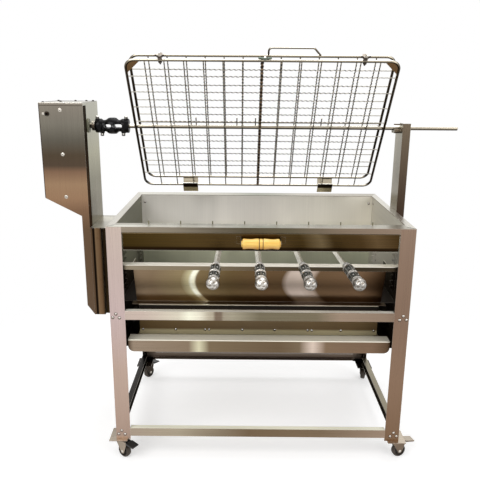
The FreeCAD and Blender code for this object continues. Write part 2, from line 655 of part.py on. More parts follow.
def make_housing():
    """The folded shell, open at its top and back, with a sloped lower corner."""
    body = new_body("housing")
    deep = "housing_back - housing_front - housing_wall"
    pad(body, "XZ_Plane", HOUSING_OUTLINE, deep, backwards=True)
    doc.recompute()
    solid = body.Tip
    open_faces = ["Face%d" % number for number, face in enumerate(solid.Shape.Faces, start=1)
                  if face.BoundBox.ZMin > value("housing_top") - NEAR
                  or face.BoundBox.YMin > value(deep) - NEAR]
    shell = body.newObject("PartDesign::Thickness", "shell")
    shell.Base = (solid, open_faces)
    shell.setExpression("Value", bound("housing_wall"))
    shell.Join = "Intersection"
    shell.Reversed = True
    body.Tip = shell
    bore(body, "YZ_Plane", "shaft_diameter + 2 * shaft_clearance", "housing_left - housing_right",
         "spit_back - housing_front", "spit_height", lift="-housing_right - 2 * housing_wall",
         backwards=True)
    bore(body, "XZ_Plane", "switch_bushing + 2 * shaft_fit", "2 * housing_wall", "-switch_left",
         "switch_height", lift="housing_wall / 2")
    node("housing_shell", body, "0", "housing_front", "0")


def make_housing_back():
    """The flat plate that closes the housing behind, bored for the cable inlet."""
    body = new_body("back_plate")
    pad(body, "XZ_Plane", HOUSING_OUTLINE, "housing_wall", backwards=True)
    bore(body, "XZ_Plane", "gland_diameter + 2 * shaft_fit", "4 * housing_wall", "-gland_left",
         "gland_height", both_ways=True)
    node("housing_back", body, "0", "housing_back - housing_wall", "0")


def make_cap():
    """The lid of the housing: a plate with a rim folded down inside the shell."""
    body = new_body("cap")
    deep = "(housing_back - housing_front)"
    pad(body, "XY_Plane", rectangle("-housing_left", "-housing_right", "0", deep), "housing_wall")
    step = "(housing_wall + cap_gap)"
    rim = rectangle("-housing_left + " + step, "-housing_right - " + step, step,
                    deep + " - " + step)
    pad(body, "XY_Plane", rim, "cap_rim", backwards=True)
    inner = "(%s + housing_wall)" % step
    hollow = rectangle("-housing_left + " + inner, "-housing_right - " + inner, inner,
                       deep + " - " + inner)
    pocket(body, "XY_Plane", hollow, "cap_rim", lift="-cap_rim", backwards=True)
    node("housing_cap", body, "0", "housing_front", "housing_top")


def make_column():
    """The folded column that hangs the housing on the trolley, closed by a ledge plate."""
    body = new_body("column")
    tall = "(column_top - housing_low)"
    deep = "(housing_back - housing_front)"
    wide = "(housing_right - half_width)"
    folded = [("0", "0"), ("column_strip", "0"), ("column_strip", "column_recess"),
              (wide, "column_recess"), (wide, deep), ("0", deep),
              ("0", deep + " - sheet_wall"), (wide + " - sheet_wall", deep + " - sheet_wall"),
              (wide + " - sheet_wall", "column_recess + sheet_wall"),
              ("column_strip - sheet_wall", "column_recess + sheet_wall"),
              ("column_strip - sheet_wall", "sheet_wall"), ("0", "sheet_wall")]
    pad(body, "XY_Plane", folded, tall)
    pad(body, "XY_Plane", rectangle("0", wide, "0", deep), "ledge_plate", lift=tall)
    node("mounting_column", body, "-housing_right", "housing_front", "housing_low")


def make_gearmotor():
    """Gearbox bolted to the housing's right wall, with the motor behind it."""
    gearbox = box("gearbox_length", "gearbox_width", "gearbox_height", "-gearbox_length",
                  "-gearbox_width / 2", "-gearbox_drop")
    motor_length = "housing_back - housing_wall - spit_back - gearbox_width / 2 - cap_rim"
    motor = rod("motor_diameter", motor_length, "y", "-gearbox_length / 2", "gearbox_width / 2",
                "-motor_drop")
    socket = rod("shaft_diameter + 2 * shaft_fit", "shaft_grip", "x", "-shaft_grip")
    node("gearmotor", cut(fuse(gearbox, motor), socket), "-housing_right - housing_wall",
         "spit_back", "spit_height")


def make_bearing_flange():
    plate = rod("flange_diameter", "flange_plate", "x")
    boss = rod("collar_diameter", "flange_height", "x")
    hole = rod("shaft_diameter + 2 * shaft_fit", "flange_height", "x")
    node("bearing_flange", cut(fuse(plate, boss), hole), "-housing_right", "spit_back",
         "spit_height")


def make_switch():
    """Toggle switch: block and bushing fixed in the housing's front, and the bat lever."""
    block = box("switch_wide", "switch_deep", "switch_tall", "-switch_wide / 2", "housing_wall",
                "-switch_tall / 2")
    bushing = rod("switch_bushing", "switch_block_gap + housing_wall", "y", "0",
                  "-switch_block_gap")
    nut = rod("switch_collar", "switch_block_gap / 2", "y", "0", "-switch_block_gap / 2")
    hollow = rod("switch_hollow + 2 * shaft_fit", "switch_block_gap + 2 * switch_hollow", "y", "0",
                 "-switch_block_gap")
    node("toggle_switch", cut(fuse(block, bushing, nut), hollow), "-switch_left",
         "housing_front", "switch_height")
    pivot = rod("lever_pivot", "lever_pivot_width", "x", "-lever_pivot_width / 2")
    bat = cone("lever_diameter", "lever_end", "lever_length", "towards_front")
    node("toggle_lever", fuse(pivot, bat), "-switch_left", "housing_front", "switch_height",
         axis=(1, 0, 0), angle="lever_tilt")


def make_gland():
    """The cable inlet: a threaded tube through the back wall with a nut outside."""
    neck = rod("gland_diameter", "gland_length + housing_wall", "y", "0", "-housing_wall")
    nut = rod("gland_diameter + 2 * gland_nut_wall", "gland_length / 3", "y")
    hole = rod("gland_diameter / 2", "gland_length + housing_wall", "y", "0", "-housing_wall")
    node("cable_gland", cut(fuse(neck, nut), hole), "-gland_left", "housing_back",
         "gland_height")


def make_post():
    """The right-hand post: an angle outside the rim with two cradle rollers and a keeper."""
    body = new_body("post")
    tall = "(spit_height - middle_rail_low)"
    seat = tall + " - post_seat"
    top = tall + " + post_rise"
    web = [("0", "0"), ("post_depth", "0"), ("post_depth", seat + " - post_slant"),
           ("spit_in_post + spit_diameter", seat), ("spit_in_post - post_side", seat),
           ("spit_in_post - post_side", top), ("0", top)]
    pad(body, "YZ_Plane", web, "post_web")
    front = rectangle("0", "post_flange", "0", top)
    pad(body, "XZ_Plane", front, "post_web", backwards=True)
    bore(body, "YZ_Plane", "post_hole", "post_web", "spit_in_post", tall, backwards=True)
    pieces = [body]
    drop = "sqrt((roller_reach)^2 - (roller_spread / 2)^2)"
    for side in ("-1", "1"):
        pieces.append(rod("roller_diameter", "roller_length", "x", "-roller_length",
                          "spit_in_post + %s * roller_spread / 2" % side,
                          "%s - %s" % (tall, drop)))
    pieces.append(rod("keeper_diameter", "roller_length", "x", "-roller_length",
                      "spit_in_post - spit_radius - keeper_side",
                      tall + " + spit_radius + keeper_lift"))
    node("support_post", group(*pieces), "half_width", "post_front", "middle_rail_low")


CASTORS = {
    "front_left": ("-castor_x", "castor_inset"),
    "front_right": ("castor_x", "castor_inset"),
    "back_left": ("-castor_x", "frame_depth - castor_inset"),
    "back_right": ("castor_x", "frame_depth - castor_inset"),
}


def make_castor_plates():
    """Top plates under the legs, each with the kingpin that its fork swivels on."""
    plates = []
    for x, y in CASTORS.values():
        plate = box("castor_length", "castor_depth", "castor_plate",
                    x + " - castor_length / 2", y + " - castor_depth / 2", "-castor_plate")
        pin_length = "castor_gap + head_height"
        pin = rod("kingpin", pin_length, "z", x, y, "-castor_plate - castor_gap - head_height")
        plates.append(fuse(plate, pin))
    node("castor_plates", group(*plates), "0", "0", "leg_foot")


def castor_fork():
    """Swivel head, two cheeks, the axle and the pedal's pivot; the wheel trails along +X."""
    axle_drop = "(fork_low - wheel_diameter / 2)"
    outer = "(wheel_width / 2 + castor_gap + wheel_play + fork_wall)"
    head = cut(rod("head_diameter", "head_height"), rod("kingpin + 2 * shaft_fit", "head_height"))
    cheeks = new_body("cheeks")
    edge = "axle_diameter"
    outline = [("-head_diameter / 3", "0"), ("castor_trail - edge_half", "-" + axle_drop),
               ("castor_trail - axle_diameter / 2", "-%s - %s" % (axle_drop, edge)),
               ("castor_trail + axle_diameter / 2", "-%s - %s" % (axle_drop, edge)),
               ("castor_trail + edge_half", "-" + axle_drop),
               ("pedal_pivot + pivot_diameter", "-pedal_drop - pivot_diameter"),
               ("pedal_pivot + pivot_diameter", "0")]
    pad(cheeks, "XZ_Plane", outline, "2 * " + outer, both_ways=True)
    hollow = rectangle("-head_diameter", "pedal_pivot + head_diameter", "-wheel_diameter * 2",
                       "0")
    pocket(cheeks, "XZ_Plane", hollow, "2 * (%s - fork_wall)" % outer, both_ways=True)
    axle = rod("axle_diameter", "2 * " + outer, "y", "castor_trail", "-" + outer,
               "-" + axle_drop)
    pivot = rod("pivot_diameter", "2 * " + outer, "y", "pedal_pivot", "-" + outer,
                "-pedal_drop")
    return fuse(head, cheeks, axle, pivot)


def castor_wheel():
    """A turned wheel: rounded tread, recessed sides and a hub, bored for the axle."""
    hole = "axle_diameter / 2 + shaft_fit"
    rim = "wheel_diameter / 2"
    half = "wheel_width / 2"
    right = [(half + " - tread_round", rim), (half, rim + " - tread_round"),
             (half, rim + " - rim_band"),
             (half + " - wheel_recess", rim + " - rim_band - recess_slope"),
             (half + " - wheel_recess", hole + " + hub_wall + recess_slope"),
             (half, hole + " + hub_wall"), (half, hole)]
    left = [("-(%s)" % x, y) for x, y in reversed(right)]
    return turned("wheel", left + right)


def castor_pedal():
    """The brake pedal: a hub on the pivot rod and a tread plate behind the fork."""
    body = new_body("pedal")
    inner = "(wheel_width + 2 * wheel_play)"
    drawing = new_sketch(body, "XZ_Plane", "0")
    draw_circle(drawing, "2 * pivot_diameter")
    feature(body, "Pad", drawing, inner, True, False)
    reach = "(pedal_reach - pedal_pivot)"
    neck = rectangle("0", "pivot_diameter * 2", "0", "pivot_diameter")
    pad(body, "XZ_Plane", neck, inner, both_ways=True)
    tread = [("tread_start", "0"), (reach, "-tread_drop"), (reach, "tread_lip"),
             ("tread_knee", "tread_rise"), ("tread_start", "pivot_diameter")]
    pad(body, "XZ_Plane", tread, "pedal_width", both_ways=True)
    bore(body, "XZ_Plane", "pivot_diameter + 2 * shaft_fit", inner, both_ways=True)
    return body


def make_castors():
    for name, (x, y) in CASTORS.items():
        heading = "heading_" + name
        trail_x = "%s + castor_trail * cos(%s)" % (x, heading)
        trail_y = "%s + castor_trail * sin(%s)" % (y, heading)
        pivot_x = "%s + pedal_pivot * cos(%s)" % (x, heading)
        pivot_y = "%s + pedal_pivot * sin(%s)" % (y, heading)
        node("castor_fork_" + name, castor_fork(), x, y, "fork_low", angle=heading)
        node("castor_wheel_" + name, castor_wheel(), trail_x, trail_y, "wheel_diameter / 2",
             angle=heading + " + 90")
        node("castor_pedal_" + name, castor_pedal(), pivot_x, pivot_y, "fork_low - pedal_drop",
             angle=heading)


def make_drive_shaft():
    """Output shaft of the gearbox, with the collar that stands against the coupling."""
    start = "(housing_right + housing_wall + shaft_grip - shaft_clearance)"
    shaft = rod("shaft_diameter", start + " - coupling_left + shaft_grip", "x", "-" + start)
    collar = rod("collar_diameter", "collar_length", "x",
                 "-coupling_left - collar_length - collar_gap")
    node("drive_shaft", fuse(shaft, collar), "0", "spit_back", "spit_height")


SCREWS = {
    "left_top": ("coupling_left - thumb_left_top", "shaft_diameter / 2", "thumb_lean"),
    "left_low": ("coupling_left - thumb_left_low", "shaft_diameter / 2", "180 - thumb_lean"),
    "right_top": ("coupling_right + thumb_right_top", "spit_radius", "thumb_lean"),
    "right_low": ("coupling_right + thumb_right_low", "spit_radius", "180 - thumb_lean"),
}


def make_coupling():
    """Cast sleeve: two barrels for the shafts, a bulge between them and two windows."""
    long = "coupling_length"
    barrel = "coupling_diameter / 2"
    waist = "waist_diameter / 2"
    bulge = "bulge_diameter / 2"
    left_bore = "shaft_diameter / 2 + shaft_fit"
    right_bore = "spit_radius + shaft_fit"
    profile = [("0", left_bore), ("0", barrel)]
    place = "0"
    for step, radius in (("left_barrel", barrel), ("barrel_slope", waist), ("left_waist", waist),
                         ("bulge_slope", bulge), ("bulge_length", bulge),
                         ("bulge_slope", waist), ("right_waist", waist),
                         ("barrel_slope", barrel)):
        place += " + " + step
        profile.append((place, radius))
    profile += [(long, barrel), (long, right_bore), (long + " / 2", right_bore),
                (long + " / 2", left_bore)]
    body = turned("sleeve", profile)
    for centre in ("window_left", "window_right"):
        wide = centre + "_width"
        tall = "window_height"
        pocket(body, "XZ_Plane", rectangle("%s - %s / 2" % (centre, wide),
                                           "%s + %s / 2" % (centre, wide),
                                           "-%s / 2" % tall, tall + " / 2"),
               "2 * bulge_diameter", both_ways=True)
        for end in ("-1", "1"):
            bore(body, "XZ_Plane", tall, "2 * bulge_diameter",
                 "%s + %s * %s / 2" % (centre, end, wide), "0", both_ways=True)
    holes = []
    for x, start, turn in SCREWS.values():
        hole = rod("thumb_shank + 2 * shaft_fit", "bulge_diameter")
        holes.append(put(hole, "coupling_left - (%s)" % x, axis=(1, 0, 0), angle=turn))
    node("coupling", cut(body, *holes), "-coupling_left", "spit_back", "spit_height")


def make_thumb_screws():
    """Four screws that clamp the shafts: a shank through the barrel and a waisted head."""
    screws = []
    for x, start, turn in SCREWS.values():
        shank_end = "(coupling_diameter / 2 + thumb_stand)"
        low = "%s + shaft_fit" % start
        shank = rod("thumb_shank", "%s - (%s)" % (shank_end, low), z=low)
        head = cone("thumb_neck", "thumb_head", "thumb_height", z=shank_end)
        screws.append(put(fuse(shank, head), "-(%s)" % x, axis=(1, 0, 0), angle=turn))
    node("thumb_screws", group(*screws), "0", "spit_back", "spit_height")


def make_spit():
    """The spit with its four upright pins, from inside the coupling to the free end."""
    start = "-coupling_right - coupling_grip"
    bar = rod("spit_diameter", "spit_end - spit_chamfer + coupling_right + coupling_grip", "x",
              start)
    nose = cone("spit_diameter", "spit_diameter - 2 * spit_chamfer", "spit_chamfer", "x",
                "spit_end - spit_chamfer")
    pins = [rod("pin_diameter", "pin_height", x=place)
            for place in ("pin_far_left", "pin_left", "pin_middle", "pin_right")]
    node("spit_rod", fuse(bar, nose, *pins), "0", "spit_back", "spit_height", axis=(1, 0, 0),
         angle="basket_tilt")


# The basket is drawn flat: X along the spit, Y up the basket, Z towards the front. Turned by
# the basket's tilt past upright it hangs on the spit, which lies between its two grids.
BASKET = {"axis": (1, 0, 0), "angle": "90 + basket_tilt"}


def quarter_bend(bend_radius, diameter, x, y, z, turn):
    made = doc.addObject("Part::Torus", "bend")
    made.setExpression("Radius1", bound(bend_radius))
    made.setExpression("Radius2", bound("(%s) / 2" % diameter))
    made.Angle3 = 90
    return put(made, x, y, z, angle=turn)


def rod_loop(width, low, high, depth):
    """A rectangle of round rod with bent corners, in the plane at depth."""
    half = "((%s) / 2)" % width
    reach = "(%s - corner_radius)" % half
    bottom = "(%s + corner_radius)" % low
    top = "(%s - corner_radius)" % high
    pieces = []
    for y in (low, high):
        pieces.append(rod("rod_diameter", "2 * " + reach, "x", "-" + reach, y, depth))
    for x in ("-" + half, half):
        pieces.append(rod("rod_diameter", "%s - %s" % (top, bottom), "y", x, bottom, depth))
    for x, y, turn in ((reach, top, "0"), ("-" + reach, top, "90"), ("-" + reach, bottom, "180"),
                       (reach, bottom, "270")):
        pieces.append(quarter_bend("corner_radius", "rod_diameter", x, y, depth, turn))
    return pieces


def gussets():
    """Flat triangles across the two top corners of the front frame."""
    plates = []
    half = "basket_width / 2"
    for side in ("-1", "1"):
        body = new_body("gusset")
        corner = [(half + " - gusset", "basket_half"), (half + " - corner_radius", "basket_half"),
                  (half + " - gusset_corner", "basket_half - gusset_corner"),
                  (half, "basket_half - corner_radius"), (half, "basket_half - gusset")]
        outline = [("%s * (%s)" % (side, x), y) for x, y in corner]
        pad(body, "XY_Plane", outline, "gusset_plate", lift="basket_gap / 2",
            both_ways=True)
        plates.append(body)
    return plates


def hinge_strap(side):
    """Strap across the front frame's bottom rod, curled round the lid's bottom rod."""
    body = new_body("strap")
    front = "(basket_gap / 2 + rod_radius)"
    plate = rectangle("-basket_half - strap_drop", "-basket_half + 2 * strap_wall + rod_radius * 2",
                      front + " - strap_seat", front + " - strap_seat + strap_wall")
    pad(body, "YZ_Plane", plate, "strap_width", both_ways=True)
    under = "-basket_half - rod_radius"
    ring = "(rod_radius + hinge_fit + strap_wall)"
    bridge = [(under + " - strap_wall", front), (under, front), (under, "basket_gap / 4"),
              ("-lid_low - rod_radius - hinge_fit", "-basket_gap / 2"),
              ("-lid_low - %s" % ring, "-basket_gap / 2"),
              (under + " - strap_wall", "basket_gap / 4")]
    pad(body, "YZ_Plane", bridge, "strap_width", both_ways=True)
    drawing = new_sketch(body, "YZ_Plane", "0")
    draw_circle(drawing, "strap_wall * 2.5", "-basket_half - strap_drop", front)
    feature(body, "Pad", drawing, "strap_width", True, False)
    inward = "-1" if side == "right" else "1"
    knuckle = new_sketch(body, "YZ_Plane", "%s * (-(strap_width - knuckle_width) / 2)" % inward
                         + " - knuckle_width / 2")
    draw_circle(knuckle, "2 * " + ring, "-lid_low", "-basket_gap / 2")
    feature(body, "Pad", knuckle, "knuckle_width", False, False)
    bore(body, "YZ_Plane", "rod_diameter + 2 * hinge_fit", "strap_width", "-lid_low",
         "-basket_gap / 2", both_ways=True)
    return body


def make_basket_frame():
    """Front frame of the basket: rod loop, gussets, hinge straps, clamp studs and a catch."""
    pieces = rod_loop("basket_width", "(-basket_half)", "basket_half", "basket_gap / 2")
    pieces += gussets()
    for side, place in (("left", "-strap_place"), ("right", "strap_place")):
        pieces.append(put(hinge_strap(side), place))
    for place in ("-clamp_place", "clamp_place"):
        pieces.append(rod("stud_diameter", "stud_height", "y", place, "basket_half",
                          "basket_gap / 2"))
    pieces.append(rod("catch_hub", "rod_radius + catch_rise", "y", "catch_place", "basket_half",
                      "basket_gap / 2"))
    pieces.append(box("catch_span", "catch_rise / 2", "clamp_plate",
                      "catch_place - catch_span / 2", "basket_half + rod_radius + catch_seat",
                      "basket_gap / 2 - clamp_plate / 2"))
    node("basket_frame", fuse(*pieces), "0", "spit_back", "spit_height", **BASKET)


def upright_wires(width, low, high, depth, outward):
    """Wires up the basket between its rods, on the outer side; the middle one is thicker."""
    wires = []
    bays = round(value("wire_bays"))
    for index in range(1, bays):
        middle = 2 * index == bays
        across = "rib_diameter" if middle else "wire_diameter"
        x = "(%s) * (%d / wire_bays - 1 / 2)" % (width, index)
        start = "%s + rod_radius + wire_gap" % low
        z = "%s %s %s / 2" % (depth, outward, across)
        wires.append(rod(across, "%s - (%s) - rod_radius - wire_gap" % (high, start), "y", x,
                         start, z))
    return wires


def level_wire(width, y, depth, inward, across="wire_diameter"):
    half = "((%s) / 2 - rod_radius - wire_gap)" % width
    z = "%s %s %s / 2" % (depth, inward, across)
    return rod(across, "2 * " + half, "x", "-" + half, y, z)


def make_basket_mesh():
    """The front grid: crossing wires that meet their frame's rods."""
    wires = upright_wires("basket_width", "(-basket_half)", "basket_half", "basket_gap / 2", "+")
    rows = round(value("row_bays"))
    for index in range(1, rows):
        y = "2 * basket_half * (%d / row_bays - 1 / 2)" % index
        wires.append(level_wire("basket_width", y, "basket_gap / 2", "-"))
    node("basket_mesh", group(*wires), "0", "spit_back", "spit_height", **BASKET)


def make_lid_frame():
    """The lid's rod loop."""
    pieces = rod_loop("lid_width", "(-lid_low)", "basket_half", "(-basket_gap / 2)")
    node("lid_frame", fuse(*pieces), "0", "spit_back", "spit_height", **BASKET)


def make_lid_handle():
    """The bent handle welded on the lid's top rod: an upright leg, a bar and a leaning leg."""
    bar = "(handle_width - 2 * handle_bend)"
    rise = "(handle_rise - handle_bend)"
    turn = "atan(handle_lean / handle_rise)"
    leg = rod("handle_diameter", rise, "y")
    bends = [quarter_bend("handle_bend", "handle_diameter", "handle_bend", rise, "0", "90"),
             quarter_bend("handle_bend", "handle_diameter", "handle_bend + %s - handle_lean" % bar,
                          rise, "0", turn)]
    bends[1].setExpression("Angle3", bound("90 deg - " + turn))
    across = rod("handle_diameter", bar + " - handle_lean", "x", "handle_bend", "handle_rise")
    far_x = "(handle_bend + %s - handle_lean + handle_bend * cos(%s))" % (bar, turn)
    far_y = "(%s + handle_bend * sin(%s))" % (rise, turn)
    slant = doc.addObject("Part::Cylinder", "rod")
    slant.setExpression("Radius", bound("handle_diameter / 2"))
    slant.setExpression("Height", bound("%s / cos(%s)" % (far_y, turn)))
    leaning = put(group(put(slant, axis=(1, 0, 0), angle="90")), far_x, far_y, angle=turn)
    foot = box("2 * handle_width", "rod_diameter", "rod_diameter", "-handle_width / 2",
               "-rod_diameter", "-rod_radius")
    rod_below = rod("rod_diameter", "2 * handle_width", "x", "-handle_width / 2")
    handle = cut(fuse(leg, *bends, across, leaning), foot, rod_below)
    placed = put(group(handle), "handle_start", "basket_half", "-basket_gap / 2")
    node("lid_handle", group(placed), "0", "spit_back", "spit_height", **BASKET)


def make_lid_mesh():
    """The lid's grid, with a straight bar in place of the row that the spit would cross."""
    depth = "(-basket_gap / 2)"
    wires = upright_wires("lid_width", "(-lid_low)", "basket_half", depth, "-")
    rows = round(value("row_bays"))
    for index in range(1, rows):
        if index == (rows + 1) // 2:
            wires.append(level_wire("lid_width", "lid_bar_rise", depth, "+", "bar_diameter"))
            continue
        y = "basket_half - (basket_half + lid_low + row_slack) * %d / row_bays + row_slack"
        wires.append(level_wire("lid_width", y % index, depth, "+"))
    node("lid_mesh", group(*wires), "0", "spit_back", "spit_height", **BASKET)


def make_clamps():
    """Bars that turn on the studs to hold the lid's top rod, each under a wing nut."""
    for name, place in (("clamp_left", "-clamp_place"), ("clamp_right", "clamp_place")):
        seat = "basket_half + rod_radius + clamp_gap"
        stud = "basket_gap / 2"
        reach = "basket_gap + 2 * rod_radius + clamp_width / 2"
        bar = box("clamp_width", "clamp_plate", reach, place + " - clamp_width / 2", seat,
                  "basket_gap / 2 + clamp_width / 2 - (%s)" % reach)
        top = seat + " + clamp_plate"
        hub = rod("nut_diameter", "wing_height / 2", "y", place, top, stud)
        wings = box("wing_span", "wing_height - clamp_plate", "wing_wall",
                    place + " - wing_span / 2", top + " + clamp_plate",
                    stud + " - wing_wall / 2")
        hole = "stud_diameter + 2 * shaft_fit"
        bar_bore = rod(hole, "clamp_plate", "y", place, seat, stud)
        nut_bore = rod(hole, "wing_height", "y", place, top, stud)
        pieces = group(cut(bar, bar_bore), cut(fuse(hub, wings), nut_bore))
        node(name, pieces, "0", "spit_back", "spit_height", **BASKET)


def skewer():
    """A skewer along Y: V-section blade, and a cast handle with rings and a domed end."""
    neck = "neck_diameter / 2"
    grip = "grip_neck / 2"
    bulb_place = "bulb_diameter / 2 - handle_length"
    profile = [("0", "0"), ("0", bulb_place), ("bulb_neck / 2", bulb_place),
               (grip, "-grip_taper")]
    for start, end in (("outer_ring", "outer_panel"), ("middle_ring", "inner_panel")):
        profile += [(neck, "-%s - groove" % start), (neck, "-" + start),
                    (grip, "-%s + groove" % start), (grip, "-" + end)]
    profile += [(neck, "-neck_ring"), (neck, "0")]
    handle = turned("handle", profile, "XY_Plane", "Y_Axis")
    bulb = put(ball("bulb_diameter"), "0", bulb_place)
    blade = new_body("blade")
    half = "blade_width / 2"
    section = [("-" + half, "-blade_height"), ("0", "0"), (half, "-blade_height"),
               (half + " - blade_wall", "-blade_height"), ("0", "-blade_crease"),
               ("-%s + blade_wall" % half, "-blade_height")]
    reach = "((skewer_tip - skewer_start) / cos(skewer_slope))"
    pad(blade, "XZ_Plane", section, reach + " + neck_diameter / 4", lift="neck_diameter / 4",
        backwards=True)
    for side in ("-1", "1"):
        point = [("0", reach), (side + " * blade_width", reach),
                 (side + " * blade_width", reach + " - 2 * blade_width")]
        pocket(blade, "XY_Plane", point, "3 * blade_height", both_ways=True)
    return fuse(handle, bulb, blade)


def make_skewers():
    """Four skewers side by side, sloping down to the shelf on the back wall."""
    names = ("skewer_far_left", "skewer_left", "skewer_right", "skewer_far_right")
    for index, name in enumerate(names):
        x = "skewer_shift + skewer_pitch * (%d - 3 / 2)" % index
        node(name, skewer(), x, "skewer_start", "skewer_height", axis=(1, 0, 0),
             angle="-skewer_slope")


def check_document():
    """Stop if any object failed or any sub-part is not a valid solid shape."""
    doc.recompute()
    for thing in doc.Objects:
        if "Invalid" in thing.State or "Error" in thing.State:
            raise RuntimeError("%s (%s) failed: %s" % (thing.Name, thing.Label, thing.State))
    for piece in NODES:
        if piece.Shape.isNull() or not piece.Shape.isValid() or not piece.Shape.Solids:
            raise RuntimeError(piece.Label + " has no valid shape")


def write_parts():
    os.makedirs("parts", exist_ok=True)
    for piece in NODES:
        piece.Shape.exportStep("parts/%s.step" % piece.Label)


fill_sheet()
make_legs()
make_rim()
make_rails()
make_firebox_back()
make_firebox_sides()
make_firebox_front()
make_grate()
make_hopper()
make_skewer_rest()
make_runners()
make_flap_rod()
make_housing()
make_housing_back()
make_cap()
make_column()
make_gearmotor()
make_bearing_flange()
make_switch()
make_gland()
make_post()
make_castor_plates()
make_castors()
make_drawer()
make_flap()
make_flap_bracket()
make_flap_grip()
make_drive_shaft()
make_coupling()
make_thumb_screws()
make_spit()
make_basket_frame()
make_basket_mesh()
make_lid_frame()
make_lid_handle()
make_lid_mesh()
make_clamps()
make_skewers()
check_document()
write_parts()
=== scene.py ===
import json
import math
import random

import bmesh
import bpy
from mathutils import Matrix, Vector

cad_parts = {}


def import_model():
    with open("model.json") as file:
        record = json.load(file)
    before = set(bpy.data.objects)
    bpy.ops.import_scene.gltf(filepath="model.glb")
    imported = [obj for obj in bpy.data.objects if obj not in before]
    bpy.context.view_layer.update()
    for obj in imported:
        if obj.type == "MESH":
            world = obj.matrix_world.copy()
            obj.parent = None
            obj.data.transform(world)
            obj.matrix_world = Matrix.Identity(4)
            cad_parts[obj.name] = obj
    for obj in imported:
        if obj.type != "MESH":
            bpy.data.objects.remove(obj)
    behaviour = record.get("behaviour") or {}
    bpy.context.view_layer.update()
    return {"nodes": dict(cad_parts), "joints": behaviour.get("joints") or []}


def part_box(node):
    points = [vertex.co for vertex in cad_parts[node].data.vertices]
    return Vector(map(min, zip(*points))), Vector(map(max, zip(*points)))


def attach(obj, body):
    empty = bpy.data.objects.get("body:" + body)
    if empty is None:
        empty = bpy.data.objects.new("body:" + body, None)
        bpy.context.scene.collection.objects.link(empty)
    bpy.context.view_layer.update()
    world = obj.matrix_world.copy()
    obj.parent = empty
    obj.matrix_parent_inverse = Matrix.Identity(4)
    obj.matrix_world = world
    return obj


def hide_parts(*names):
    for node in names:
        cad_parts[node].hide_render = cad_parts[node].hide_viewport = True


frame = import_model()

# Charcoal rotisserie grill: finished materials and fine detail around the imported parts. Metres,
# X to the right, Y away from the front, Z up from the floor.
random.seed(7)
MM = 0.001


def at(x, y, z):
    return Vector((x, y, z))


X, Y, Z = at(1, 0, 0), at(0, 1, 0), at(0, 0, 1)
JOINT = {joint["name"]: joint for joint in frame["joints"]}
CORNERS = ("front_left", "front_right", "back_left", "back_right")
SKEWERS = ("far_left", "left", "right", "far_right")

# The basket lies in a plane tilted about the spit: RISE is up it, OUT is towards its front.
SPIT = Vector(JOINT["spit_spin"]["pos_m"])
RISE = Vector(JOINT["clamp_left_turn"]["axis"]).normalized()
OUT = X.cross(RISE)


def low(node):
    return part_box(node)[0]


def high(node):
    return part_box(node)[1]


def centre_of(node):
    near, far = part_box(node)
    return (near + far) / 2


def basket(x, y, z):
    """A point from three reaches: along the spit, up the basket, towards its front."""
    return SPIT + X * x + RISE * y + OUT * z


def mm(*pairs):
    """Pairs written in millimetres, as metres."""
    return [(first * MM, second * MM) for first, second in pairs]


def add_object(name, data):
    made = bpy.data.objects.new(name, data)
    bpy.context.scene.collection.objects.link(made)
    return made


# ---- materials

LOOKS = {}
UP = (0, 0, 1)
DOWN = (0, 0, -1)
FRONT = (0, -1, 0)
BACK = (0, 1, 0)
RIGHT = (1, 0, 0)
LEFT = (-1, 0, 0)
GRAIN = {"X": (2.5, 420, 420), "Y": (420, 2.5, 420), "Z": (420, 420, 2.5)}
CLOUD = {"X": (1.8, 5, 6), "Y": (5, 1.8, 6), "Z": (5, 5, 1.8)}
# Pale edge colour: wear and a painted highlight along rounded edges.
EDGE_WEAR_AND_HIGHLIGHT = (0.78, 0.74, 0.68, 1.0)


def linear(colour):
    """A colour written 0 to 255 as the renderer's linear values."""
    channels = [part / 255 for part in colour]
    return tuple(part / 12.92 if part <= 0.04045 else ((part + 0.055) / 1.055) ** 2.4
        for part in channels) + (1.0,)


class Tree:
    """A node tree, emptied and built up step by step."""

    def __init__(self, owner):
        owner.use_nodes = True
        self.tree = owner.node_tree
        self.tree.nodes.clear()

    def add(self, kind, inputs=(), **settings):
        made = self.tree.nodes.new("ShaderNode" + kind)
        for name, setting in settings.items():
            setattr(made, name, setting)
        self.fill(made, dict(inputs))
        return made

    def fill(self, node, inputs):
        """Set or link inputs; a node given as a value stands for its first output."""
        for name, value in inputs.items():
            if isinstance(value, bpy.types.Node):
                value = value.outputs[0]
            if isinstance(value, bpy.types.NodeSocket):
                self.tree.links.new(value, node.inputs[name])
            else:
                node.inputs[name].default_value = value


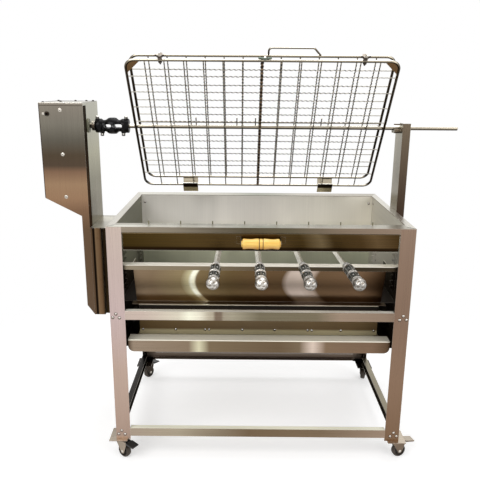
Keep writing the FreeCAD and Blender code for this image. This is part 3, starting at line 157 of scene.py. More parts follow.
class Look(Tree):
    """A material kept in LOOKS."""

    def __init__(self, name, settings):
        LOOKS[name] = bpy.data.materials.new(name)
        super().__init__(LOOKS[name])
        self.shader = self.add("BsdfPrincipled", settings)
        self.add("OutputMaterial", {"Surface": self.shader}, is_active_output=True)
        self.coord = self.add("TexCoord").outputs
        self.place = self.coord["Object"]
        self.parts = self.add("SeparateXYZ", {0: self.place}).outputs

    def coat(self, colour, roughness, normal):
        self.fill(self.shader, {"Base Color": colour, "Roughness": roughness, "Normal": normal})

    def math(self, operation, first, second=0.0):
        return self.add("Math", {0: first, 1: second}, operation=operation)

    def mix(self, amount, first, second, blend="MIX"):
        made = self.add("Mix", {0: amount, 6: first, 7: second}, data_type="RGBA",
            blend_type=blend, clamp_factor=True)
        return made.outputs[2]

    def spread(self, source, start, end, to_start=0.0, to_end=1.0):
        return self.add("MapRange", {0: source, 1: start, 2: end, 3: to_start, 4: to_end},
            clamp=True)

    def noise(self, scale, detail=3.0, rough=0.5, twist=0.0):
        moved = self.add("Mapping", {"Vector": self.place, "Scale": scale})
        return self.add("TexNoise", {"Vector": moved, "Scale": 1.0, "Detail": detail,
            "Roughness": rough, "Distortion": twist})

    def relief(self, strength, distance, height, **more):
        return self.add("Bump", {"Strength": strength, "Distance": distance * MM,
            "Height": height, **more})

    def along(self, paint):
        """A flat colour, or one that changes along an axis through stops in metres."""
        if not isinstance(paint[0], str):
            return linear(paint)
        axis, stops = paint[:2]
        start, end = stops[0][0], stops[-1][0]
        place = self.parts[axis]
        if len(paint) > 2:
            other, middle, bend = paint[2]
            away = self.math("SUBTRACT", self.parts[other], middle)
            away = self.math("MULTIPLY", self.math("MULTIPLY", away, away), bend)
            place = self.math("ADD", place, away)
        made = self.add("ValToRGB", {0: self.spread(place, start, end)})
        ramp = made.color_ramp
        for index, (place, *colour) in enumerate(stops):
            share = (place - start) / (end - start)
            if index in (0, len(stops) - 1):
                stop = ramp.elements[0 if index == 0 else -1]
            else:
                stop = ramp.elements.new(share)
            stop.position = share
            stop.color = linear(colour)
        return made

    def facing(self, way, start=0.35, end=0.85):
        """A mask: a list multiplies masks; a slant, dashes or an axis goes by place between two
        values; numbers are a way that the face looks, and the two dot products it fades
        between."""
        if isinstance(way, list):
            masks = [self.facing(part) for part in way]
            while len(masks) > 1:
                masks.append(self.math("MULTIPLY", masks.pop(), masks.pop()))
            return masks[0]
        if way[0] == "slant":
            place = self.math("MULTIPLY", self.parts["Y"], way[1])
            place = self.math("ADD", self.parts["Z"], place)
            return self.spread(place, *way[2:])
        if way[0] == "dashes":
            place = self.math("MULTIPLY", self.parts["Z"], way[1])
            return self.spread(self.math("SINE", place), *way[2:])
        if isinstance(way[0], str):
            return self.spread(self.parts[way[0]], *way[1:])
        if len(way) > 3:
            way, (start, end) = way[:3], way[3:]
        made = self.add("VectorMath", {0: self.coord["Normal"], 1: way}, operation="DOT_PRODUCT")
        return self.spread(made.outputs["Value"], start, end)


def metal(name, paint, sides=(), grain="X", rough=0.3, streak=0.08, cloud=0.15, edge=0.35,
        spots=0.0, metallic=1.0, dull=None):
    """Brushed steel: fine grain, soft cloudy patches, and lighter edges, partly wear and partly a
    painted highlight.
    """
    look = Look(name, {"Metallic": metallic, "Anisotropic": 0.25,
        "Specular IOR Level": 0.5 if metallic == 1.0 else 0.12})
    if dull:
        covered = look.spread(look.facing(dull), 0.0, 1.0, metallic, 0.1)
        look.fill(look.shader, {"Metallic": covered})
    colour = look.along(paint)
    # Each side layer is painted light or shade: a lighter or darker colour on faces that look one
    # way.
    for way, layer in sides:
        colour = look.mix(look.facing(way), colour, look.along(layer))
    fine = look.noise(GRAIN[grain], 4.0, 0.65)
    patches = look.noise(CLOUD[grain], 2.0, 0.45, 0.8)
    shade = look.spread(fine, 0.3, 0.7, 1 - streak, 1 + streak)
    soft = look.spread(patches, 0.3, 0.7, 1 - cloud, 1 + cloud)
    tone = look.math("MULTIPLY", shade, soft)
    if spots:
        marks = look.noise((38, 38, 38), 2.0, 0.7)
        tone = look.math("MULTIPLY", tone, look.spread(marks, 0.62, 0.74, 1.0, 1 - spots))
    colour = look.mix(1.0, colour, tone, "MULTIPLY")
    rounded = look.add("Bevel", {"Radius": 1.2 * MM}, samples=4)
    flat = look.add("NewGeometry").outputs["Normal"]
    turned = look.add("VectorMath", {0: rounded, 1: flat}, operation="DOT_PRODUCT")
    # Edges lighten towards the pale colour: wear and a painted edge highlight.
    edge_wear_and_highlight = look.spread(turned.outputs["Value"], 0.99, 0.85, 0.0, edge)
    look.coat(look.mix(edge_wear_and_highlight, colour, EDGE_WEAR_AND_HIGHLIGHT),
        look.spread(fine, 0.25, 0.75, rough - 0.07, rough + 0.09),
        look.relief(0.12, 0.4, fine, Normal=rounded))


def moulded(name, colour, rough, relief=0.15, size=300, cloud=0.25, shine=0.5):
    """Cast, painted or plastic surface with a fine texture and uneven tone."""
    look = Look(name, {"Specular IOR Level": shine})
    grit = look.noise((size, size, size), 4.0, 0.6)
    patches = look.noise((30, 30, 30), 3.0, 0.5)
    tone = look.spread(patches, 0.3, 0.7, 1 - cloud, 1 + cloud)
    rounded = look.add("Bevel", {"Radius": 0.8 * MM}, samples=4)
    look.coat(look.mix(1.0, look.along(colour), tone, "MULTIPLY"),
        look.spread(grit, 0.3, 0.7, rough - 0.06, rough + 0.08),
        look.relief(relief, 0.5, grit, Normal=rounded))


def varnished_wood(name):
    """Light wood turned along X under yellow varnish, with fine fibres and growth bands; its
    underside is darker as painted shade.
    """
    look = Look(name, {"Coat Weight": 0.5, "Coat Roughness": 0.12, "Specular IOR Level": 0.4})
    bands = look.noise((6, 130, 130), 5.0, 0.6, 0.5)
    fibres = look.noise((25, 900, 900), 3.0, 0.7)
    body = look.mix(look.spread(bands, 0.35, 0.68), linear((250, 214, 112)),
        linear((232, 172, 66)))
    body = look.mix(look.spread(fibres, 0.5, 0.75, 0.0, 0.35), body, linear((176, 106, 30)))
    # Down-facing faces darker: painted shade.
    under = look.facing(DOWN, -0.1, 0.9)
    look.coat(look.mix(look.math("MULTIPLY", under, 0.45), body, linear((170, 92, 22))),
        look.spread(fibres, 0.3, 0.7, 0.3, 0.42), look.relief(0.12, 0.3, fibres))


# Metals and mouldings. A stop is a place in metres and its colour, 0 to 255. UP + (0.2, 0.7) is a
# way to look and the two dot products that the layer fades between. Light and dark stops along the
# ramps are painted reflections, highlights and shade; the layers by facing are painted light and
# shade.
# Painted light: the front left leg is a lit copy of the legs' steel, lighter up its height; its
# right and back faces are painted shade.
metal("leg_left", ("Z", [(0.08, 158, 136, 122), (0.35, 176, 154, 141), (0.55, 197, 176, 172),
    (0.85, 200, 182, 171)]), [(RIGHT, (150, 134, 118)), (BACK, (150, 134, 118))], "Z",
    streak=0.04, cloud=0.04)
# Painted shade: the front right leg is a shaded copy, darker towards the floor, its left face
# darker still.
metal("leg_right", ("Z", [(0.08, 116, 92, 72), (0.35, 127, 103, 85), (0.6, 135, 111, 94),
    (0.85, 144, 121, 104)]), [(LEFT, (104, 86, 68))], "Z", streak=0.04, cloud=0.04)
# Painted shade: the back legs, darker towards the floor; their back and left faces are lighter as
# painted light.
metal("leg_back", ("Z", [(0.08, 40, 34, 28), (0.4, 52, 45, 37), (0.85, 120, 104, 86)]),
    [(BACK, (150, 136, 120)), (LEFT, (110, 98, 84))], "Z", cloud=0.12)
# Painted reflections along X, lighter at the left and darker in the middle; up-facing tops are
# painted light.
metal("rim", ("X", [(-0.47, 150, 138, 122), (-0.25, 138, 128, 112), (-0.02, 92, 84, 68),
    (0.12, 98, 90, 72), (0.3, 130, 114, 97), (0.53, 144, 124, 108)]),
    [(UP, ("X", [(-0.47, 222, 220, 208), (-0.1, 196, 192, 178), (0.03, 150, 152, 132),
    (0.2, 190, 184, 170), (0.53, 176, 170, 155)]))], cloud=0.12)
# Up-facing tops are lighter: painted light.
metal("rim_side", (150, 140, 124), [(UP, (208, 204, 193))], "Y", cloud=0.12)
# Painted reflection: a bright lamp streak near X -0.2 and darker bands along X; tops are painted
# light, undersides painted shade.
metal("middle_rail", ("X", [(-0.47, 192, 175, 163), (-0.36, 198, 180, 168), (-0.24, 212, 204, 184),
    (-0.205, 240, 238, 216), (-0.17, 226, 220, 200), (-0.14, 184, 174, 154),
    (-0.125, 174, 164, 144), (-0.117, 120, 104, 88), (-0.097, 124, 108, 92),
    (-0.09, 158, 148, 130), (-0.06, 160, 152, 132), (0.03, 116, 108, 88), (0.22, 118, 108, 88),
    (0.3, 150, 131, 113), (0.45, 140, 121, 104), (0.53, 120, 100, 84)]), [(UP, (228, 224, 212)),
    (DOWN, (90, 78, 62))], cloud=0.08, dull=UP)
# Painted reflections along X; tops are painted light, undersides and the back rail painted shade.
metal("base_rail", ("X", [(-0.47, 158, 142, 127), (-0.25, 162, 151, 131), (0.0, 110, 93, 72),
    (0.25, 117, 100, 80), (0.53, 152, 132, 115)]), [(UP, (250, 248, 226)), (DOWN, (90, 78, 62)),
    (("Y", 0.0, 0.1), (100, 88, 78))], cloud=0.1, dull=[UP, ("Y", 0.1, 0.0)])
# Painted shade: dark steel, with painted light on tops towards the right, on left and right faces
# and high up.
metal("side_rail", (40, 34, 28), [(UP, ("X", [(-0.4, 34, 29, 24), (0.4, 150, 142, 122)])),
    (LEFT, (110, 100, 88)), (RIGHT, (150, 138, 122)), (("Z", 0.3, 0.4), (150, 138, 122))], "Y")
# Painted reflection: lighter streaks along X, brightest at the right; low on its front face the
# colour turns darker and greener.
metal("back_wall", ("X", [(-0.46, 238, 234, 226), (-0.2, 232, 228, 220), (0.05, 226, 221, 212),
    (0.3, 255, 250, 236), (0.51, 252, 246, 230)]), [([FRONT, ("Z", 0.75, 0.67)],
    (206, 208, 182))], "Z", rough=0.42, cloud=0.1, streak=0.03, metallic=0.1)
# Painted shade: the left wall is a shaded copy of the right, and below the slanted line of the
# pan's front it is near black; the outer faces are lighter as painted light.
metal("side_walls", ("X", [(-0.1, 122, 121, 106), (0.1, 200, 196, 184)]),
    [(("slant", 0.316, 0.659, 0.652), (28, 20, 12)), ([LEFT, ("X", 0.1, -0.1)],
    (168, 164, 150)), ([RIGHT, ("X", -0.1, 0.1)], (168, 164, 150))], "Y", rough=0.42,
    cloud=0.12, metallic=0.25)
# Painted reflections: bright lamp streaks near X -0.2 and 0.15 and dark bands along X, bent by
# height; tops are painted light, the lip above 0.704 has its own painted reflection ramp, and the
# line at its top is a painted highlight.
metal("front_wall", ("X", [(-0.45, 140, 120, 98), (-0.34, 128, 109, 86), (-0.24, 142, 126, 94),
    (-0.213, 196, 188, 152), (-0.205, 255, 255, 236), (-0.193, 255, 252, 226),
    (-0.187, 124, 106, 76), (-0.08, 100, 82, 54), (0.04, 100, 78, 54), (0.105, 98, 77, 54),
    (0.125, 190, 174, 162), (0.165, 198, 182, 170), (0.205, 176, 158, 144), (0.222, 104, 82, 60),
    (0.36, 112, 88, 66), (0.44, 60, 42, 26), (0.51, 34, 24, 14)], ("Z", 0.645, -7.4)),
    [(UP, ("X", [(-0.45, 110, 94, 70), (0.51, 96, 80, 60)])), (("Z", 0.701, 0.704),
    ("X", [(-0.45, 152, 140, 120), (-0.2, 132, 118, 96), (0.1, 80, 68, 52), (0.3, 62, 54, 42),
    (0.51, 62, 52, 40)])), (("Z", 0.7178, 0.7188), (236, 230, 216))], cloud=0.1, rough=0.34)
# Painted light and shade: lighter at the bottom, near black above 0.536 as a painted shadow under
# the slope, with a painted highlight line on its top lip.
metal("hopper", ("X", [(-0.45, 104, 82, 48), (0.0, 128, 108, 80), (0.51, 110, 88, 56)]),
    [(("Z", 0.462, 0.454), (206, 192, 152)), (("Z", 0.53, 0.536), (26, 19, 12)),
    ([("Z", 0.5485, 0.5495), ("Z", 0.5585, 0.5575)], (228, 218, 196))], rough=0.45, cloud=0.15,
    metallic=0.15)
# Painted reflections: bright lamp patches near X -0.175 and 0.215 and darker ends; tops are
# painted light and the top lip line is a painted highlight.
metal("drawer", ("X", [(-0.42, 78, 62, 48), (-0.4, 146, 129, 111), (-0.21, 132, 115, 96),
    (-0.175, 204, 198, 168), (-0.14, 118, 102, 80), (0.1, 103, 86, 66), (0.17, 114, 98, 78),
    (0.215, 202, 184, 170), (0.26, 120, 100, 80), (0.42, 116, 94, 76), (0.48, 84, 66, 48)]),
    [(UP, (184, 178, 150)), (("Z", 0.4495, 0.4505), (240, 235, 218))], cloud=0.08, dull=UP)
metal("dark_steel", (96, 84, 66), rough=0.4, cloud=0.25, spots=0.2)
metal("grate", (128, 120, 106), (), "Y", rough=0.5, cloud=0.3, spots=0.25, metallic=0.5)
# Up-facing tops are lighter: painted light.
metal("rest", (120, 118, 98), [(UP, (176, 172, 158))], cloud=0.2)
# Painted reflections: the brown tones along X, bent by height; undersides and a low band are
# painted shade, tops painted light, and the bottom edge a painted highlight.
metal("flap", ("X", [(-0.42, 58, 44, 17), (-0.2, 82, 64, 34), (0.03, 80, 62, 36),
    (0.17, 68, 52, 26), (0.23, 104, 88, 62), (0.27, 66, 50, 26), (0.36, 72, 54, 30),
    (0.41, 96, 76, 50), (0.48, 70, 52, 28)], ("Z", 0.79, 9.0)), [(DOWN, (24, 16, 8)),
    (UP, (150, 140, 120)), (("Z", 0.792, 0.786), (34, 22, 10)), (("Z", 0.7785, 0.7775),
    (170, 166, 150))], cloud=0.15, streak=0.12, rough=0.26)
# Painted reflections: light and dark bands up its height; the right, back and left faces are
# painted light, and a dark line down the front's left edge is painted shade.
metal("housing", ("Z", [(0.45, 96, 78, 62), (0.78, 104, 82, 62), (0.855, 130, 101, 78),
    (0.897, 154, 122, 95), (0.949, 158, 128, 100), (0.994, 130, 102, 81), (1.015, 86, 72, 59),
    (1.053, 83, 71, 57), (1.105, 97, 92, 82), (1.16, 122, 117, 106), (1.232, 134, 126, 115)]),
    [(RIGHT, ("Z", [(0.75, 120, 112, 88), (0.87, 116, 108, 82), (0.95, 112, 106, 78),
    (1.05, 154, 150, 122), (1.16, 166, 164, 146), (1.232, 172, 170, 154)])), (BACK,
    (160, 152, 138)), (LEFT, (150, 140, 124)), ([FRONT, ("X", -0.735, -0.7375)],
    (70, 58, 48))], "Z", cloud=0.05, streak=0.02)
# Tops and the right face take slightly darker tones: painted shade.
metal("cap", (226, 219, 208), [(UP, (205, 202, 192)), (RIGHT, (200, 198, 186))], cloud=0.06)
# Painted shade and reflection: darker towards the floor; the front has painted dark lines and a
# lighter streak along X; tops are painted light, the right face painted shade, the back and left
# faces lighter.
metal("column", ("Z", [(0.45, 52, 34, 18), (0.6, 50, 35, 23), (0.7, 68, 50, 36),
    (0.78, 76, 62, 48)]), [(FRONT, ("X", [(-0.5845, 96, 76, 58), (-0.578, 90, 70, 52),
    (-0.5765, 20, 14, 8), (-0.5705, 24, 16, 10), (-0.567, 122, 98, 72), (-0.552, 98, 74, 52),
    (-0.546, 46, 35, 21), (-0.47, 38, 29, 18)])), (UP, (206, 202, 188)), (RIGHT, (40, 31, 19)),
    (BACK, (120, 108, 92)), (LEFT, (110, 98, 84))], "Z", cloud=0.3, spots=0.15)
# Painted shade: darker towards the floor; the left, back and right faces are lighter as painted
# light.
metal("post", ("Z", [(0.53, 58, 45, 36), (0.86, 68, 54, 44), (1.0, 88, 75, 62),
    (1.17, 106, 94, 79)]), [(LEFT, ("Z", [(0.6, 112, 102, 86), (0.95, 140, 132, 115),
    (1.17, 142, 136, 118)])), (BACK, (130, 120, 104)), (RIGHT, (140, 130, 114))], "Z", cloud=0.08)
metal("plated", (196, 190, 180), rough=0.2, cloud=0.2)
# Painted highlight on top and painted shade underneath.
metal("shaft", (172, 162, 144), [(UP + (0.2, 0.7), (250, 246, 236)), (DOWN + (0.1, 0.6),
    (36, 27, 16))], rough=0.2, cloud=0.12)
# Painted highlight on top, painted shade underneath and on the sides; below Z 0.904 the hinge
# straps are lighter as painted light.
metal("rods", (172, 162, 142), [(UP + (0.2, 0.7), (248, 243, 232)), (DOWN + (0.1, 0.6),
    (34, 25, 14)), (RIGHT + (0.25, 0.7), (48, 39, 28)), (LEFT + (0.25, 0.7), (66, 54, 40)),
    (("Z", 0.9052, 0.9042), (214, 204, 176))], rough=0.22, cloud=0.12, edge=0.0)
# Painted shade on undersides and right-facing sides.
metal("wire", (186, 181, 170), [(DOWN, (70, 60, 46)), (RIGHT + (0.05, 0.3), (44, 38, 30))],
    rough=0.3, cloud=0.25, edge=0.0)
# Painted shade: dark dashes up the wire where its crimps turn down.
metal("upright", (150, 140, 122), [(("dashes", 560, -0.35, 0.15), (26, 20, 13))], "Z", rough=0.3,
    cloud=0.3, edge=0.0)
# Painted shade: dark dashes in the hollows between the rib's ridges.
metal("rib", (116, 98, 78), [(("dashes", 470, -0.5, 0.1), (34, 23, 14))], "Z", rough=0.34,
    cloud=0.3, edge=0.1)
metal("gusset", (92, 70, 46), rough=0.3, cloud=0.2)
metal("flange", (120, 119, 100), rough=0.4, cloud=0.25, metallic=0.3)
# Near black: the painted shade in the seam of the strip on the housing's right face.
moulded("gap", (18, 14, 10), 0.8, 0.1, 200, 0.2, shine=0.0)
# Painted reflection: brown tones up the strip on the housing's right face.
moulded("fold", ("Z", [(0.79, 66, 48, 34), (0.93, 70, 54, 40), (1.1, 44, 38, 30),
    (1.22, 58, 52, 44)]), 0.6, 0.1, 200, 0.15, shine=0.0)
# Undersides darker: painted shade.
metal("clip", (112, 124, 112), [(DOWN, (60, 64, 56))], rough=0.3, cloud=0.2)
metal("seam", (26, 22, 18), rough=0.5, edge=0.0)
metal("weld", (190, 182, 168), rough=0.34, cloud=0.35, spots=0.3)
# Painted highlight on the domes' tops, painted shade under them.
metal("rivet", (176, 164, 152), [(UP + (0.05, 0.4), (240, 236, 230)), (DOWN + (0.05, 0.4),
    (44, 34, 27))], rough=0.2, cloud=0.12, edge=0.0)
# Dark: painted shade in the rings round the rivets, in screw slots and in the beads by the cap;
# also the real black of the cap screws and the toggle.
metal("rivet_ring", (48, 38, 30), rough=0.45, cloud=0.3, edge=0.0)
# Painted reflection: right-facing sides darker; undersides painted shade.
metal("blade", (232, 228, 216), [(RIGHT + (0.12, 0.3), (150, 142, 126)), (DOWN, (90, 78, 60))],
    "Y", rough=0.24, cloud=0.12, dull=UP)
# Undersides darker: painted shade.
metal("cast", (184, 180, 174), [(DOWN, (74, 64, 52))], "Y", rough=0.26, cloud=0.35, spots=0.45)
metal("cast_groove", (122, 114, 104), (), "Y", rough=0.34, cloud=0.3, spots=0.3, edge=0.0)
moulded("cast_dark", (40, 42, 39), 0.42, 0.4, 500, 0.5, shine=0.2)
# Painted light and shade: lighter tops and left faces, darker undersides and right faces, and
# darker towards the back.
metal("zinc", (112, 97, 83), [(UP, (186, 174, 158)), (DOWN, (60, 50, 42)), (LEFT,
    (176, 164, 148)), (RIGHT, (84, 72, 60)), (("Y", 0.1, 0.3), (46, 39, 32))], rough=0.3,
    cloud=0.35, spots=0.4)
# The back castors' forks: a copy of zinc in painted shade.
metal("zinc_in_painted_shade", (62, 54, 46), rough=0.34, cloud=0.3)
moulded("black", (5, 5, 6), 0.24, 0.3, 300, 0.3, shine=0.13)
# Painted highlight on top and painted shade underneath.
metal("dark_chrome", (70, 66, 60), [(UP, (226, 224, 218)), (DOWN, (18, 16, 14))], rough=0.16,
    cloud=0.2)
# Painted highlight on top and painted shade underneath.
metal("shaft_dark", (60, 54, 46), [(UP, (190, 184, 172)), (DOWN, (12, 10, 8))], rough=0.18,
    cloud=0.3)
moulded("plastic", (20, 19, 18), 0.4, 0.2)
moulded("tyre", (56, 48, 40), 0.5, 0.25, 500, 0.2, shine=0.3)
moulded("hub", (46, 40, 33), 0.45, 0.2, 400, 0.25, shine=0.3)
moulded("paint", (92, 96, 102), 0.4)
varnished_wood("wood")
moulded("groove", (96, 52, 14), 0.5)
# Painted highlight on top and painted shade underneath.
metal("clamp_steel", (70, 62, 56), [(UP, (132, 124, 114)), (DOWN, (34, 28, 23))], rough=0.28,
    cloud=0.35, spots=0.3)

DRESSED = {
    "front_leg_left": "leg_left", "front_leg_right": "leg_right", "back_leg_left": "leg_back",
    "back_leg_right": "leg_back", "top_rail_front": "rim", "top_rail_back": "rim",
    "top_rails_side": "rim_side", "middle_rails_long": "middle_rail",
    "base_rails_long": "base_rail", "side_rails": "side_rail", "firebox_back": "back_wall",
    "firebox_sides": "side_walls", "firebox_front": "front_wall", "charcoal_grate": "grate",
    "ash_hopper": "hopper", "skewer_rest": "rest", "drawer_runners": "dark_steel",
    "flap_rod": "dark_steel", "housing_shell": "housing", "housing_back": "housing",
    "housing_cap": "cap", "mounting_column": "column", "gearmotor": "paint",
    "bearing_flange": "flange", "toggle_switch": "rivet_ring", "cable_gland": "plastic",
    "support_post": "post", "castor_plates": "zinc", "front_flap": "flap",
    "flap_bracket": "flap", "ash_drawer": "drawer", "toggle_lever": "black",
    "drive_shaft": "shaft_dark", "spit_rod": "shaft", "basket_frame": "rods",
    "lid_frame": "rods", "lid_handle": "rods",
}
for corner in CORNERS:
    # Back forks take the copy of zinc in painted shade.
    DRESSED["castor_fork_" + corner] = "zinc" if "front" in corner else "zinc_in_painted_shade"
    DRESSED["castor_pedal_" + corner] = "zinc" if corner == "front_right" else "plastic"
for node, look in DRESSED.items():
    slots = frame["nodes"][node].data.materials
    if not slots:
        slots.append(None)
    for index in range(len(slots)):
        slots[index] = LOOKS[look]


# ---- shapes

def cross_axes(axis):
    """Two directions square to a third."""
    other = Z if abs(axis.z) < 0.9 else X
    first = axis.cross(other).normalized()
    return first, axis.cross(first).normalized()


def around(first, second, steps, shift=0):
    """Evenly spaced directions in the plane of two others."""
    angles = (2 * math.pi * (step + shift) / steps for step in range(steps))
    return [first * math.cos(angle) + second * math.sin(angle) for angle in angles]


SQUARE = ((-1, -1), (1, -1), (1, 1), (-1, 1))
HAIR = 0.02 * MM
SAME_POINT = 1e-7
EDGE_ANGLE = math.radians(35)


class Shape:
    """Points and faces gathered for one piece; mark is the face's material."""

    def __init__(self):
        self.points = []
        self.faces = []
        self.marks = []

    def loft(self, rings, mark=0, closed=False, marks=None):
        """Skin through rings of equal count, with flat ends."""
        start = len(self.points)
        count = len(rings[0])
        for ring in rings:
            self.points.extend(ring)
        for index in range(len(rings) - (not closed)):
            here = start + index * count
            there = start + (index + 1) % len(rings) * count
            for step in range(count):
                after = (step + 1) % count
                self.faces.append((here + step, here + after, there + after, there + step))
                self.marks.append(marks[index] if marks else mark)
        if not closed:
            last = start + (len(rings) - 1) * count
            self.faces += [tuple(range(start, start + count)), tuple(range(last, last + count))]
            self.marks += [marks[0], marks[-1]] if marks else [mark, mark]

    def turn(self, profile, origin, axis, steps=32, mark=0, marks=None, closed=False):
        """A turned solid: profile is pairs of place along the axis and radius."""
        ways = around(*cross_axes(axis), steps)
        rings = [[origin + axis * place + way * max(radius, HAIR) for way in ways]
            for place, radius in profile]
        self.loft(rings, mark, closed, marks)

    def sweep(self, path, radius, sides=8, mark=0):
        """A round wire along a path; radius is one number or one for each point."""
        count = len(path)
        radii = radius if isinstance(radius, list) else [radius] * count
        heading = (path[1] - path[0]).normalized()
        first = cross_axes(heading)[0]
        rings = []
        for index, point in enumerate(path):
            ahead = (path[min(index + 1, count - 1)] - path[max(index - 1, 0)]).normalized()
            first = (heading.rotation_difference(ahead) @ first).normalized()
            heading = ahead
            second = heading.cross(first).normalized()
            rings.append([point + way * radii[index] for way in around(first, second, sides)])
        self.loft(rings, mark)

    def prism(self, outline, origin, across, upward, depth, mark=0):
        """A flat outline in the plane of two directions, thickened by a vector."""
        base = [origin + across * x + upward * y for x, y in outline]
        self.loft([base, [point + depth for point in base]], mark)

    def block(self, centre, size, axes=(X, Y, Z), mark=0):
        half = [axis * (extent / 2) for axis, extent in zip(axes, size)]
        base = [centre + half[0] * x + half[1] * y - half[2] for x, y in SQUARE]
        self.loft([base, [point + half[2] * 2 for point in base]], mark)

    def mesh(self, name, looks=()):
        made = bpy.data.meshes.new(name)
        made.from_pydata([tuple(point) for point in self.points], [], self.faces)
        for look in looks:
            made.materials.append(LOOKS[look])
        made.polygons.foreach_set("material_index", self.marks)
        work = bmesh.new()
        work.from_mesh(made)
        bmesh.ops.remove_doubles(work, verts=work.verts, dist=SAME_POINT)
        bmesh.ops.recalc_face_normals(work, faces=work.faces)
        work.to_mesh(made)
        work.free()
        return made

    def piece(self, name, body, looks, slot, replaces=(), angle=38, bevel=0.0):
        """The finished object, riding on a body."""
        mesh = self.mesh(name, looks)
        mesh.shade_smooth()
        mesh.set_sharp_from_angle(angle=math.radians(angle))
        made = add_object(name, mesh)
        if bevel:
            edges = made.modifiers.new("edges", "BEVEL")
            edges.width = bevel
            edges.segments = 2
            edges.limit_method = "ANGLE"
            edges.angle_limit = EDGE_ANGLE
            edges.harden_normals = True
        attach(made, body)
        if replaces:
            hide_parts(*replaces)
        return made


# ---- rivets and screws

RIVETED = ("rivet", "rivet_ring")
DOME = [(0, 1), (0.4, 1), (1.1, 0.75), (1.4, 0.45), (1.3, 0.34), (0.9, 0.3), (0.9, 0)]
TRIANGLE = mm((19.5, 20.5), (8.5, 7.5), (31, 6.5))
CHUTE_RIVETS = (-409, -293, -189, -175, -57, 58, 175, 189, 292, 409)


def rivet(shape, place, outward, radius=4.2 * MM, tall=1.0):
    """A domed blind rivet with a hollow middle on a dark ring; the ring is painted shade around
    the head.
    """
    shape.turn([(0, radius * 1.35), (0.25 * MM, radius * 1.3), (0.3 * MM, radius)], place,
        outward, 20, 1)
    shape.turn([(rise * tall * MM, radius * share) for rise, share in DOME], place, outward, 20)


def screw(shape, place, outward, radius=4 * MM, height=2.4 * MM):
    """A pan-head screw with a cross slot over a washer."""
    shape.turn([(0, radius * 1.45), (0.5 * MM, radius * 1.45), (0.6 * MM, radius * 1.3)], place,
        outward, 24)
    shape.turn([(0.4 * MM, radius), (height * 0.6, radius), (height * 0.9, radius * 0.8),
        (height, radius * 0.45), (height, 0)], place, outward, 24)
    first, second = cross_axes(outward)
    for axes in ((first, second, outward), (second, first, outward)):
        shape.block(place + outward * (height * 0.96),
            (radius * 1.15, radius * 0.22, height * 0.12), axes, 1)


def frame_rivets():
    """Three rivets where each rail's tab lies on a leg, on the front, back and both sides."""
    shape = Shape()
    left, right = low("front_leg_left").x, high("front_leg_right").x
    front, back = low("front_leg_left").y, high("back_leg_left").y
    for rail in ("middle_rails_long", "base_rails_long"):
        height = low(rail).z
        joints = [(x, y, inward, outward, X) for x, inward in ((left, 1), (right, -1))
            for y, outward in ((front, -Y), (back, Y))]
        joints += [(x, y, inward, outward, Y) for y, inward in ((front, 1), (back, -1))
            for x, outward in ((left, -X), (right, X))]
        for x, y, inward, outward, along in joints:
            for reach, rise in TRIANGLE:
                rivet(shape, at(x, y, height + rise) + along * (reach * inward), outward)
    shape.piece("frame_rivets", "trolley", RIVETED, "fastener_steel")


def sheet_rivets():
    """Rivets of the ash chute and of the firebox's corners."""
    shape = Shape()
    face = low("ash_hopper")
    middle = centre_of("ash_hopper").x
    for offset in CHUTE_RIVETS:
        rivet(shape, at(middle + offset * MM, face.y, face.z + 17.5 * MM), -Y, 3.4 * MM)
    wall = low("firebox_back").y
    for side, x in ((1, low("firebox_sides").x), (-1, high("firebox_sides").x)):
        rivet(shape, at(x + side * 15 * MM, wall + 49.9 * MM, 0.8235), -Y, 3.6 * MM)
        x += side * 1.5 * MM
        rivet(shape, at(x, wall + 26 * MM, 0.8265), X * side, 3.6 * MM)
        for height in (0.642, 0.617):
            rivet(shape, at(x, 0.222, height), X * side)
    shape.piece("sheet_rivets", "trolley", RIVETED, "fastener_steel")


def flap_rivets():
    """Two rivets through each ear of the grip's bracket."""
    shape = Shape()
    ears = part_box("flap_bracket")
    for x in (ears[0].x + 7.5 * MM, ears[1].x - 10 * MM):
        for drop in (3 * MM, 12 * MM):
            rivet(shape, at(x, low("front_flap").y, ears[1].z - drop), -Y, 3 * MM, 0.5)
    shape.piece("flap_rivets", "front_flap", RIVETED, "fastener_steel")


def housing_screws():
    """Screws on the housing's face and folded cap."""
    shape = Shape()
    shell = low("housing_shell")
    for x, z in mm((74.3, 1208.7), (73.9, 1055.9), (75.7, 903.7)):
        screw(shape, at(shell.x + x, shell.y, z), -Y, 4.6 * MM)
    # Their cross slots take the dark look: painted shade.
    shape.piece("housing_screws", "trolley", ("plated", "rivet_ring"), "fastener_steel")
    shape = Shape()
    cap = low("housing_cap")
    for x, y in mm((12, 16), (12, 198), (42, 123), (76, 198), (117, 198), (142, 198)):
        screw(shape, at(cap.x + x, cap.y + y, high("housing_cap").z), Z, 4 * MM, 4 * MM)
    shape.piece("cap_screws", "trolley", ("rivet_ring", "plated"), "fastener_steel")


frame_rivets()
sheet_rivets()
flap_rivets()
housing_screws()

# ---- basket

ROD = 4.5 * MM
HALF_WIDE = (high("basket_frame").x - low("basket_frame").x) / 2 - ROD
LID_HALF = (high("lid_frame").x - low("lid_frame").x) / 2 - ROD
HALF_TALL = 284 * MM
LID_LOW = -266 * MM
GAP = 13 * MM
WIRE = 1.6 * MM
BAYS = 14
ROWS = 9
RIB_STEPS = 260
RIB = 2.5 * MM
FRONT_ROWS = [2 * HALF_TALL * (index / ROWS - 0.5) for index in range(1, ROWS)]
LID_ROWS = [HALF_TALL - (HALF_TALL - LID_LOW + 10 * MM) * index / ROWS + 10 * MM
    for index in range(1, ROWS) if index != (ROWS + 1) // 2]
FRONT_HALF = (HALF_WIDE, -HALF_TALL, GAP, FRONT_ROWS)
LID = (LID_HALF, LID_LOW, -GAP, LID_ROWS)


